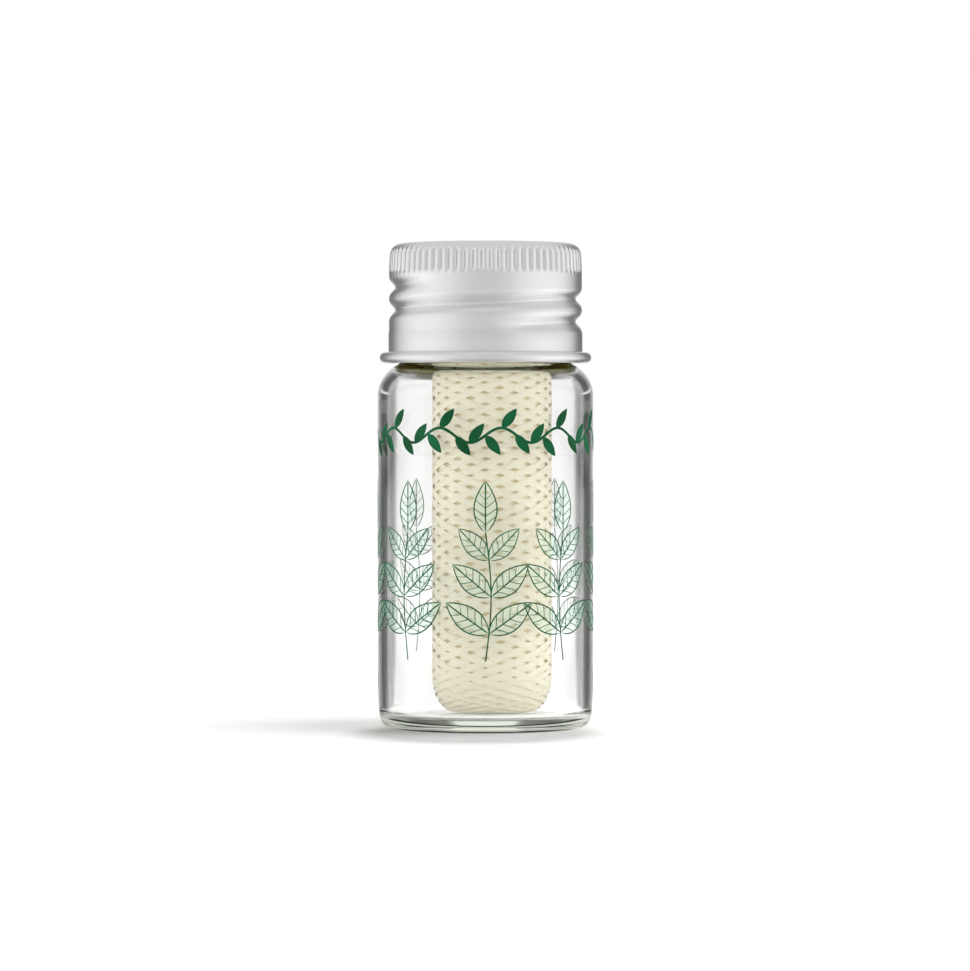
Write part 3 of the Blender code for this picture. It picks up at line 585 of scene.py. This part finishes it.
# Screw cap
def cap_outline():
    """The sheet's inner face, from the top down the skirt and round the outside of the bead."""
    top_z = CAP_TOP_Z - CAP_SHEET
    corner_radius = CAP_CORNER_RADIUS - CAP_SHEET
    corner_r = CAP_INNER_RADIUS - corner_radius
    corner = arc(corner_r, top_z - corner_radius, corner_radius, 90, 0, 8)
    skirt_z = CAP_BOTTOM_Z + SKIRT_HEIGHT
    skirt_radius = CAP_INNER_RADIUS + SKIRT_STEP
    wall_end = (CAP_INNER_RADIUS, skirt_z)
    skirt_top = (skirt_radius, skirt_z - SKIRT_STEP_HEIGHT)
    bead_z = CAP_BOTTOM_Z + BEAD_RADIUS
    bead_end = 180 + BEAD_SWEEP_DEGREES
    bead = arc(skirt_radius + BEAD_RADIUS, bead_z, BEAD_RADIUS, 180, bead_end, 20)
    return (
        [(CAP_INNER_RADIUS / 4, top_z), (CAP_INNER_RADIUS / 2, top_z)]
        + corner + stretch(corner[-1], wall_end, 42)
        + [wall_end, skirt_top] + stretch(skirt_top, bead[0], 3)
        + bead
    )


def wave(across):
    """The formed groove's section, a smooth wave from 1 to 0."""
    return np.where(across < 1, (1 + np.cos(math.pi * np.minimum(across, 1))) / 2, 0.0)


def make_cap(material):
    cap = turned("cap_shell", cap_outline(), CAP_SEGMENTS, close_end=False)
    points = read_points(cap)
    radius = np.hypot(points[:, 0], points[:, 1])
    on_wall = np.abs(radius - CAP_INNER_RADIUS) < FIT_GAP / 10
    form = thread_form(
        points, FORMED_TURNS, FORMED_ZERO_Z, FORMED_WIDTH / 2, FORMED_FADE_TURNS, wave
    )
    knurl_top = CAP_TOP_Z - KNURL_TOP_DEPTH
    knurl_bottom = knurl_top - KNURL_LENGTH
    to_end = np.minimum(knurl_top - points[:, 2], points[:, 2] - knurl_bottom)
    angle = np.arctan2(points[:, 1], points[:, 0])
    flute = ((1 - np.cos(KNURL_COUNT * angle)) / 2) ** FLUTE_SHARPNESS
    flute *= smooth_step(to_end / KNURL_END)
    outside = radius > CAP_INNER_RADIUS / 2
    in_knurl = (points[:, 2] > knurl_bottom) & (radius > CAP_INNER_RADIUS - FIT_GAP)
    narrowing = KNURL_TAPER * smooth_step((points[:, 2] - knurl_bottom) / KNURL_LENGTH)
    inward = np.where(on_wall, THREAD_HEIGHT * form, 0.0)
    inward += np.where(in_knurl, KNURL_DEPTH * flute, 0.0)
    inward += np.where(outside & (points[:, 2] > knurl_bottom), narrowing, 0.0)
    push_out(points, -inward)
    write_points(cap, points)
    # The outline is the sheet's inner face, which looks into the cap, so the sheet grows behind it
    sheet = cap.modifiers.new("sheet", "SOLIDIFY")
    sheet.thickness = CAP_SHEET
    sheet.offset = -1.0
    apply_modifiers(cap)
    inner_face = np.arange(len(cap.data.vertices)) < len(points)
    heights = read_points(cap)[:, 2] - CAP_BOTTOM_Z
    above_bead = smooth_step((heights - 2 * BEAD_RADIUS) / BEAD_RADIUS)
    lacquer = cap.data.attributes.new("lacquer", "FLOAT", "POINT")
    lacquer.data.foreach_set("value", (inner_face * above_bead).astype(np.float32))
    smooth_shade(cap, 50)
    dress(cap, "cap", material, "satin_aluminium", "screw_cap")


# Floss package
def pass_travel(samples):
    """How far down a pass is, as a share of the stroke, at each of its samples."""
    place = np.linspace(0, 1, samples)
    turns = place * ROUND_TRIP_TURNS / 2
    left = ROUND_TRIP_TURNS / 2 - turns
    speed = smooth_step(HEAD_SPEED + turns / HEAD_SLOW_TURNS)
    speed *= smooth_step(FOOT_SPEED + left / FOOT_SLOW_TURNS)
    travel = np.concatenate([[0.0], np.cumsum((speed[1:] + speed[:-1]) / 2)])
    return travel / travel[-1]


def crossing_level(number, crossing):
    """+1 where this pass lies over the one that it crosses, -1 where it lies under it."""
    step = 2 * ((5 * crossing) % FLOSS_STARTS)
    other = (number - 1 + step) if number % 2 == 0 else (number + 1 - step)
    return 1.0 if other % (2 * FLOSS_STARTS) < number else -1.0


def drawn_in(z):
    """How far the package's rounded ends draw a strand in at this height; the foot is rounder."""
    foot = np.clip(1 - (z - PACKAGE_BOTTOM_Z) / PACKAGE_FOOT_HEIGHT, 0, 1)
    head = np.clip(1 - (PACKAGE_TOP_Z - z) / PACKAGE_HEAD_HEIGHT, 0, 1)
    at_foot = PACKAGE_FOOT_WIDTH * (1 - math.sqrt(1 - foot**2))
    return at_foot + PACKAGE_HEAD_WIDTH * (1 - math.sqrt(1 - head**2))


def strand_points():
    """The whole strand, pass after pass, as a list of places."""
    passes = 2 * FLOSS_STARTS
    crossings = round(ROUND_TRIP_TURNS / 2 * passes)
    samples = crossings * CROSSING_SAMPLES + 1
    travel = pass_travel(samples)
    middle = PACKAGE_RADIUS - STRAND_THICKNESS / 2 - STRAND_LEVEL
    low = PACKAGE_BOTTOM_Z + STRAND_END_DEPTH
    stroke = PACKAGE_TOP_Z - PACKAGE_BOTTOM_Z - 2 * STRAND_END_DEPTH
    places = []
    for number in range(passes):
        going_down = number % 2 == 0
        down = travel if going_down else travel[::-1]
        levels = [crossing_level(number, k) for k in range(crossings + 1)]
        if not going_down:
            levels = levels[::-1]
        for index in range(samples - 1):
            crossing, part = divmod(index, CROSSING_SAMPLES)
            share = float(smooth_step(part / CROSSING_SAMPLES))
            level = levels[crossing] * (1 - share) + levels[crossing + 1] * share
            turns = number * ROUND_TRIP_TURNS / 2
            turns += index / (samples - 1) * ROUND_TRIP_TURNS / 2
            z = low + stroke * (1 - down[index])
            wander = math.sin(1.7 * number + 2.3 * turns) + math.sin(0.9 * number - 5.1 * turns)
            z += STRAND_WANDER * wander * math.sin(math.pi * index / samples)
            from_end = min(z - PACKAGE_BOTTOM_Z, PACKAGE_TOP_Z - z)
            radius = middle + STRAND_LEVEL * level - drawn_in(z)
            angle = math.tau * turns
            x = PACKAGE_OFFSET + radius * math.cos(angle)
            size = min(STRAND_END_SHARE + from_end / STRAND_END_HEIGHT, 1.0)
            places.append((x, radius * math.sin(angle), z, size))
    return places


def tube(name, places, section=None, thickness=0.0):
    """A mesh tube along the places, with a flat section of its own or a round one."""
    curve = bpy.data.curves.new(name, "CURVE")
    curve.dimensions = "3D"
    curve.use_fill_caps = True
    if section:
        curve.twist_mode = "Z_UP"
        curve.bevel_mode = "OBJECT"
        curve.bevel_object = section
    else:
        curve.bevel_depth = thickness / 2
        curve.bevel_resolution = 2
    spline = curve.splines.new("POLY")
    spline.points.add(len(places) - 1)
    for point, place in zip(spline.points, places):
        point.co = (*place[:3], 1)
        point.radius = place[3] if len(place) > 3 else 1.0
    piece = bpy.data.objects.new(name, curve)
    bpy.context.scene.collection.objects.link(piece)
    pick(piece)
    bpy.ops.object.convert(target="MESH")
    return bpy.context.object


def flat_section():
    """The strand's oval section, as the bevel of its curve."""
    section = bpy.data.curves.new("strand_section", "CURVE")
    section.dimensions = "2D"
    spline = section.splines.new("POLY")
    spline.points.add(STRAND_SIDES - 1)
    for index, point in enumerate(spline.points):
        angle = math.tau * index / STRAND_SIDES
        x = STRAND_THICKNESS / 2 * math.cos(angle)
        point.co = (x, STRAND_WIDTH / 2 * math.sin(angle), 0, 1)
    spline.use_cyclic_u = True
    piece = bpy.data.objects.new("strand_section", section)
    bpy.context.scene.collection.objects.link(piece)
    return piece


def make_winding(material):
    section = flat_section()
    strand = tube("floss_strand", strand_points(), section)
    bpy.data.objects.remove(section, do_unlink=True)
    smooth_shade(strand, 60)
    dress(strand, "bobbin", material, "floss", "floss_winding")


def make_core(material, end_material):
    radius = PACKAGE_RADIUS - STRAND_THICKNESS - 2 * STRAND_LEVEL
    low = PACKAGE_BOTTOM_Z + STRAND_END_DEPTH
    high = PACKAGE_TOP_Z - STRAND_END_DEPTH
    heights = np.linspace(low, high, 90)
    side = [(radius - drawn_in(z), z) for z in heights]
    foot = [(radius / 4, low), (radius / 2, low)]
    head = [(radius / 2, high), (radius / 4, high)]
    core = turned("floss_inner_layers", foot + side + head, 96)
    points = read_points(core)
    points[:, 0] += PACKAGE_OFFSET
    write_points(core, points)
    smooth_shade(core, 60)
    dress(core, "bobbin", material, "floss", "floss_core")
    core.data.materials.append(end_material)
    for face in core.data.polygons:
        if abs(face.normal.z) > FLAT_NORMAL:
            face.material_index = 1


def smooth_route(points, steps):
    """A smooth curve through the points, which starts and ends along its first and last legs."""
    route = [np.array(point) for point in points]
    route = [2 * route[0] - route[1], *route, 2 * route[-1] - route[-2]]
    smooth = []
    for before, start, end, after in zip(route, route[1:], route[2:], route[3:]):
        for step in range(steps):
            t = step / steps
            smooth.append(
                0.5 * (
                    2 * start + (end - before) * t
                    + (2 * before - 5 * start + 4 * end - after) * t**2
                    + (3 * start - before - 3 * end + after) * t**3
                )
            )
    smooth.append(route[-2])
    return smooth


def make_lead(material):
    points = [np.array(point) * MILLIMETRE for point in LEAD_POINTS_MM]
    lead = tube("floss_free_end", smooth_route(points, 8), thickness=2 * LEAD_RADIUS)
    smooth_shade(lead, 60)
    dress(lead, "vial", material, "floss", "floss_lead")


# Printed ornament, drawn flat with x along the vial's front and y up, then laid round the glass
def sheet_grid(name, across, along):
    """A flat grid of unit size, from x -0.5 to 0.5 and y 0 to 1, and the places of its points."""
    bpy.ops.object.select_all(action="DESELECT")
    bpy.ops.mesh.primitive_grid_add(
        x_subdivisions=across, y_subdivisions=along, size=1, location=(0, 0.5, 0)
    )
    bpy.ops.object.transform_apply(location=True, rotation=False, scale=False)
    piece = bpy.context.object
    piece.name = name
    return piece, read_points(piece)


def leaf_half_width(share, width):
    """The almond outline's half width at this share of the leaf's length."""
    return width / 2 * np.maximum(np.sin(math.pi * np.clip(share, 0, 1) ** 0.85), 0.0) ** 0.85


def make_leaf(ink, tint):
    """One leaf: outline and midrib in ink, a pale fill between them, and four pairs of veins."""
    leaf, points = sheet_grid("printed_leaf", 7, 14)
    column = np.round((points[:, 0] + 0.5) * 7).astype(int)
    half = leaf_half_width(points[:, 1], LEAF_WIDTH)
    line = np.minimum(LINE_WIDTH, half / 2)
    rib = np.minimum(LINE_WIDTH / 2, half / 4)
    across = np.array([-half, line - half, -half / 2, -rib, rib, half / 2, half - line, half])
    points[:, 0] = across[column, np.arange(len(points))]
    points[:, 1] *= LEAF_LENGTH
    write_points(leaf, points)
    leaf.data.materials.append(ink)
    leaf.data.materials.append(tint)
    for face in leaf.data.polygons:
        strip = sum(column[i] for i in face.vertices) // 4
        face.material_index = 0 if strip in (0, 3, 6) else 1
    veins = []
    for foot in (0.16, 0.32, 0.48, 0.64):
        for side in (-1, 1):
            vein, places = sheet_grid("printed_vein", 1, 4)
            run = places[:, 1].copy()
            reach = foot + 0.15 * run
            places[:, 1] = reach * LEAF_LENGTH + places[:, 0] * VEIN_WIDTH * -side
            room = leaf_half_width(reach, LEAF_WIDTH) - LINE_WIDTH
            places[:, 0] = side * (LINE_WIDTH / 2 + run * room)
            places[:, 2] = INK_THICKNESS / 2
            write_points(vein, places)
            vein.data.materials.append(ink)
            veins.append(vein)
    return join([leaf, *veins])


def make_stem(name, route, width, ink):
    """A line of ink along a flat route."""
    stem, points = sheet_grid(name, 1, len(route) - 1)
    route = np.array(route)
    heading = np.gradient(route, axis=0)
    heading /= np.linalg.norm(heading, axis=1)[:, None]
    index = np.round(points[:, 1] * (len(route) - 1)).astype(int)
    offset = points[:, 0][:, None] * width
    points[:, :2] = route[index] + offset * np.stack([heading[index, 1], -heading[index, 0]], 1)
    write_points(stem, points)
    stem.data.materials.append(ink)
    return stem


def join(pieces):
    bpy.ops.object.select_all(action="DESELECT")
    for piece in pieces:
        piece.select_set(True)
    bpy.context.view_layer.objects.active = pieces[0]
    bpy.ops.object.join()
    return pieces[0]


def placed_copy(piece, foot, degrees, size):
    """A copy with its own mesh, its foot at a flat place, leaning from upright to the right."""
    copy = piece.copy()
    copy.data = piece.data.copy()
    bpy.context.scene.collection.objects.link(copy)
    points = read_points(copy)
    lean = math.radians(degrees)
    x, y = points[:, 0] * size, points[:, 1] * size
    points[:, 0] = foot[0] + x * math.cos(lean) + y * math.sin(lean)
    points[:, 1] = foot[1] - x * math.sin(lean) + y * math.cos(lean)
    write_points(copy, points)
    return copy


def lay_round(piece, name):
    """Wraps the flat drawing round the vial and gives the ink its thickness."""
    points = read_points(piece)
    angle = points[:, 0] / VIAL_RADIUS
    radius = VIAL_RADIUS + PRINT_LIFT + points[:, 2]
    laid = np.stack([radius * np.sin(angle), -radius * np.cos(angle), points[:, 1]], 1)
    write_points(piece, laid)
    ink = piece.modifiers.new("ink", "SOLIDIFY")
    ink.thickness = INK_THICKNESS
    ink.offset = 1.0
    apply_modifiers(piece)
    piece.name = name
    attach(piece, "vial")


def make_sprigs(ink, tint):
    """Upright sprigs with three pairs of leaves and one at the tip, side by side all round."""
    leaf = make_leaf(ink, tint)
    pieces = []
    for number, degrees in enumerate(SPRIG_DEGREES):
        middle = math.radians(degrees) * VIAL_RADIUS
        bend = LINE_WIDTH * (4 if number % 2 else -4)
        shares = np.linspace(0, 1, 15)
        route = [
            (middle + bend * math.sin(math.pi * t), SPRIG_FOOT_Z + SPRIG_HEIGHT * t)
            for t in shares
        ]
        pieces.append(make_stem("printed_stem", route, LINE_WIDTH, ink))
        for step, lean, size in ((3, 55, 1.0), (7, 50, 0.94), (11, 44, 0.82)):
            for side in (-1, 1):
                pieces.append(placed_copy(leaf, route[step], side * lean, size))
        pieces.append(placed_copy(leaf, route[-1], 0, 0.96))
    bpy.data.objects.remove(leaf, do_unlink=True)
    lay_round(join(pieces), "printed_sprigs")


def make_garland(ink):
    """A wavy stem with small full leaves above and below it, round the upper front."""
    shares = np.linspace(-1, 1, 121)
    reach = GARLAND_REACH * VIAL_RADIUS
    waves = GARLAND_LEAVES / 4 * math.pi
    route = [(reach * s, GARLAND_Z + GARLAND_WAVE * math.sin(waves * s)) for s in shares]
    pieces = [make_stem("printed_garland_stem", route, 2 * LINE_WIDTH, ink)]
    leaf, points = sheet_grid("printed_small_leaf", 2, 8)
    half = leaf_half_width(points[:, 1], GARLAND_LEAF_WIDTH)
    points[:, 0] *= 2 * half
    points[:, 1] *= GARLAND_LEAF_LENGTH
    write_points(leaf, points)
    leaf.data.materials.append(ink)
    for number in range(GARLAND_LEAVES):
        foot = route[round(4 + number * (len(route) - 9) / (GARLAND_LEAVES - 1))]
        pieces.append(placed_copy(leaf, foot, 38 if number % 2 else 142, 1.0))
    bpy.data.objects.remove(leaf, do_unlink=True)
    lay_round(join(pieces), "printed_garland")


# Studio
def make_camera():
    data = bpy.data.cameras.new("camera")
    camera = bpy.data.objects.new("camera", data)
    bpy.context.scene.collection.objects.link(camera)
    data.sensor_width = 36.0
    data.lens = data.sensor_width * FOCAL_PIXELS / PHOTO_WIDTH
    data.clip_start = EYE_DISTANCE / 100
    data.clip_end = EYE_DISTANCE * 100
    camera.location = (EYE_SIDE, -EYE_DISTANCE, EYE_HEIGHT)
    pitch = math.atan((EYE_HEIGHT - AIM_HEIGHT) / EYE_DISTANCE)
    camera.rotation_euler = (math.pi / 2 - pitch, 0, 0)
    bpy.context.scene.camera = camera


def studio_ring():
    """Group: how bright the studio is in a direction, by its turn from straight behind the vial."""
    inputs = (("Direction", "NodeSocketVector", None),)
    outputs = (("Level", "NodeSocketFloat", None),)
    tree, entry, leave = new_group("studio_ring", inputs, outputs)
    parts = add_node(tree, "ShaderNodeSeparateXYZ")
    tree.links.new(entry.outputs["Direction"], parts.inputs[0])
    side = add_node(tree, "ShaderNodeMath", operation="ABSOLUTE")
    tree.links.new(parts.outputs["X"], side.inputs[0])
    turn = add_node(tree, "ShaderNodeMath", operation="ARCTAN2")
    tree.links.new(side.outputs[0], turn.inputs[0])
    tree.links.new(parts.outputs["Y"], turn.inputs[1])
    share = add_node(tree, "ShaderNodeMath", {1: math.pi}, operation="DIVIDE")
    tree.links.new(turn.outputs[0], share.inputs[0])
    ring = add_node(tree, "ShaderNodeValToRGB")
    tree.links.new(share.outputs[0], ring.inputs["Fac"])
    ramp(ring, [(degrees / 180, level) for degrees, level in RING_LEVELS])
    tree.links.new(ring.outputs["Color"], leave.inputs["Level"])
    return tree


def mirrored_or_refracted(tree):
    """1 for a ray that comes straight from a mirroring or a clear surface, else 0."""
    path = add_node(tree, "ShaderNodeLightPath")
    shiny = add_node(tree, "ShaderNodeMath", operation="ADD", use_clamp=True)
    tree.links.new(path.outputs["Is Glossy Ray"], shiny.inputs[0])
    tree.links.new(path.outputs["Is Transmission Ray"], shiny.inputs[1])
    first = add_node(tree, "ShaderNodeMath", operation="SUBTRACT", use_clamp=True)
    first.inputs[0].default_value = 1.0
    tree.links.new(path.outputs["Diffuse Depth"], first.inputs[1])
    both = add_node(tree, "ShaderNodeMath", operation="MULTIPLY")
    tree.links.new(shiny.outputs[0], both.inputs[0])
    tree.links.new(first.outputs[0], both.inputs[1])
    return path, first, both


def mix_values(tree, factor, first, second):
    """A mix of two plain values, or of links where a socket is given."""
    mix = add_node(tree, "ShaderNodeMix", data_type="FLOAT")
    sockets = (mix.inputs[0], mix.inputs[2], mix.inputs[3])
    for value, socket in zip((factor, first, second), sockets):
        if isinstance(value, (int, float)):
            socket.default_value = value
        else:
            tree.links.new(value, socket)
    return mix.outputs[0]


def map_range(tree, value, *ends):
    """A smooth step of a value; ends are the two of its range and then the two of the result."""
    node = add_node(tree, "ShaderNodeMapRange", interpolation_type="SMOOTHSTEP")
    for socket, end in zip(("From Min", "From Max", "To Min", "To Max"), ends):
        node.inputs[socket].default_value = end
    tree.links.new(value, node.inputs["Value"])
    return node.outputs["Result"]


def make_floor(ring):
    bpy.ops.object.select_all(action="DESELECT")
    bpy.ops.mesh.primitive_plane_add(size=FLOOR_SIZE, location=(0, 0, 0))
    floor = bpy.context.object
    floor.name = "floor"
    material, tree, shader = new_material("white_floor")
    shader.inputs["Roughness"].default_value = 1.0
    shader.inputs["Specular IOR Level"].default_value = 0.0
    place = add_node(tree, "ShaderNodeTexCoord")
    parts = add_node(tree, "ShaderNodeSeparateXYZ")
    tree.links.new(place.outputs["Object"], parts.inputs[0])
    side = add_node(tree, "ShaderNodeMath", operation="ABSOLUTE")
    tree.links.new(parts.outputs["X"], side.inputs[0])
    beside = add_node(
        tree, "ShaderNodeMath", {1: VIAL_RADIUS}, operation="SUBTRACT", use_clamp=True
    )
    tree.links.new(side.outputs[0], beside.inputs[0])
    direction = add_node(tree, "ShaderNodeCombineXYZ")
    tree.links.new(beside.outputs[0], direction.inputs["X"])
    tree.links.new(parts.outputs["Y"], direction.inputs["Y"])
    level = add_node(tree, "ShaderNodeGroup", node_tree=ring)
    tree.links.new(direction.outputs[0], level.inputs["Direction"])
    # Seen in glass and metal, the floor shows the studio ring's painted dark gaps and soft boxes, and
    # under the vial a painted glow and brighter level where it lies in shade
    path, first, shiny = mirrored_or_refracted(tree)
    away = add_node(tree, "ShaderNodeVectorMath", operation="LENGTH")
    tree.links.new(place.outputs["Object"], away.inputs[0])
    distance = away.outputs["Value"]
    underneath = map_range(tree, distance, *UNDER_GLASS_EDGE, 1.0, 0.0)
    ring_level = level.outputs["Level"]
    in_glass_level = mix_values(tree, underneath, ring_level, FLOOR_LEVEL_UNDER_GLASS)
    value = mix_values(tree, shiny.outputs[0], 1.0, in_glass_level)
    colour = add_node(tree, "ShaderNodeMath", {1: FLOOR_COLOUR}, operation="MULTIPLY")
    tree.links.new(value, colour.inputs[0])
    tree.links.new(colour.outputs[0], shader.inputs["Base Color"])
    tree.links.new(value, shader.inputs["Emission Color"])
    direct_glow = map_range(tree, distance, *GLOW_EDGE, 0.0, FLOOR_FAR_GLOW)
    glow_ends = (FLOOR_NEAR_GLOW_IN_GLASS, FLOOR_FAR_GLOW_IN_GLASS)
    glass_glow = map_range(tree, distance, *GLOW_EDGE, *glow_ends)
    # Painted glow under the vial, seen only through the glass, where the floor lies in shade
    under_glow = map_range(tree, distance, *UNDER_GLASS_EDGE, FLOOR_GLOW_UNDER_GLASS, 0.0)
    in_glass = add_node(tree, "ShaderNodeMath", operation="MAXIMUM")
    tree.links.new(glass_glow, in_glass.inputs[0])
    tree.links.new(under_glow, in_glass.inputs[1])
    refracted = path.outputs["Is Transmission Ray"]
    seen_glow = mix_values(tree, refracted, direct_glow, in_glass.outputs[0])
    glow = add_node(tree, "ShaderNodeMath", operation="MULTIPLY")
    tree.links.new(first.outputs[0], glow.inputs[0])
    tree.links.new(seen_glow, glow.inputs[1])
    tree.links.new(glow.outputs[0], shader.inputs["Emission Strength"])
    floor.data.materials.append(material)


def make_world(ring):
    """White where it is seen, and round the sides a product studio's dark gaps and soft boxes."""
    world = bpy.data.worlds.new("studio")
    bpy.context.scene.world = world
    world.use_nodes = True
    tree = world.node_tree
    background = tree.nodes["Background"]
    place = add_node(tree, "ShaderNodeTexCoord")
    level = add_node(tree, "ShaderNodeGroup", node_tree=ring)
    tree.links.new(place.outputs["Generated"], level.inputs["Direction"])
    path, first, shiny = mirrored_or_refracted(tree)
    parts = add_node(tree, "ShaderNodeSeparateXYZ")
    tree.links.new(place.outputs["Generated"], parts.inputs[0])
    above = map_range(tree, parts.outputs["Z"], *BACKDROP_EDGE, 0.0, 1.0)
    below = map_range(tree, parts.outputs["Z"], *BACKDROP_TOP, 1.0, 0.0)
    window = add_node(tree, "ShaderNodeMath", operation="MULTIPLY")
    tree.links.new(above, window.inputs[0])
    tree.links.new(below, window.inputs[1])
    # The backdrop shows only in refracted rays that a surface has also mirrored on their way
    backdrop = add_node(tree, "ShaderNodeMath", operation="MULTIPLY", use_clamp=True)
    tree.links.new(window.outputs[0], backdrop.inputs[0])
    tree.links.new(path.outputs["Glossy Depth"], backdrop.inputs[1])
    overhead = map_range(tree, parts.outputs["Z"], *OVERHEAD_EDGE, 0.0, 1.0)
    round_about = mix_values(tree, overhead, level.outputs["Level"], OVERHEAD_LEVEL)
    refracted = mix_values(tree, backdrop.outputs[0], round_about, BACKDROP_LEVEL)
    seen = mix_values(tree, path.outputs["Is Transmission Ray"], round_about, refracted)
    value = mix_values(tree, shiny.outputs[0], DIRECT_LEVEL, seen)
    value = mix_values(tree, path.outputs["Is Camera Ray"], value, 1.0)
    tree.links.new(value, background.inputs["Color"])
    background.inputs["Strength"].default_value = 1.0


def make_lamp(name, place, size, power, spread_degrees):
    data = bpy.data.lights.new(name, "AREA")
    data.shape = "SQUARE"
    data.size = size
    data.energy = power
    data.spread = math.radians(spread_degrees)
    lamp = bpy.data.objects.new(name, data)
    bpy.context.scene.collection.objects.link(lamp)
    lamp.location = place
    aim = (CAD_BOUNDS[0] + CAD_BOUNDS[1]) / 2 - lamp.location
    lamp.rotation_euler = aim.to_track_quat("-Z", "Y").to_euler()
    lamp.visible_glossy = False
    lamp.visible_transmission = False
    lamp.visible_camera = False


make_camera()
RING = studio_ring()
make_world(RING)
make_floor(RING)
for lamp_values in LAMPS:
    make_lamp(*lamp_values)
bpy.context.scene.view_settings.view_transform = "Standard"

GLASS = clear_glass()
ALUMINIUM = satin_aluminium()
FLOSS = floss_thread()
FLOSS_INNER_PAINTED_SHADE = floss_inner_painted_shade()
INK = mottled("green_print", (0.001, 0.055, 0.016), (0.006, 0.105, 0.040), 300.0, 0.5)
INK.node_tree.nodes["Principled BSDF"].inputs["Specular IOR Level"].default_value = 0.15
TINT = print_tint()
PLASTIC = mottled("stopper_plastic", (0.84, 0.84, 0.79), (0.90, 0.90, 0.87), 350.0, 0.42)
STEEL = mottled(
    "spring_steel", (0.55, 0.55, 0.56), (0.68, 0.68, 0.69), 900.0, 0.28,
    metallic=1.0, relief=0.000005, stretched=0.1,
)
FOAM = mottled("liner_foam", (0.82, 0.82, 0.79), (0.93, 0.93, 0.91), 2500.0, 0.85, relief=0.00005)
for node, finish in (("inner_stopper", PLASTIC), ("cutter_clip", STEEL), ("cap_liner", FOAM)):
    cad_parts[node].data.materials.clear()
    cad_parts[node].data.materials.append(finish)
make_vial(GLASS)
make_cap(ALUMINIUM)
make_winding(FLOSS)
make_core(FLOSS_INNER_PAINTED_SHADE, floss_ends())
make_lead(FLOSS)
make_sprigs(INK, TINT)
make_garland(INK)
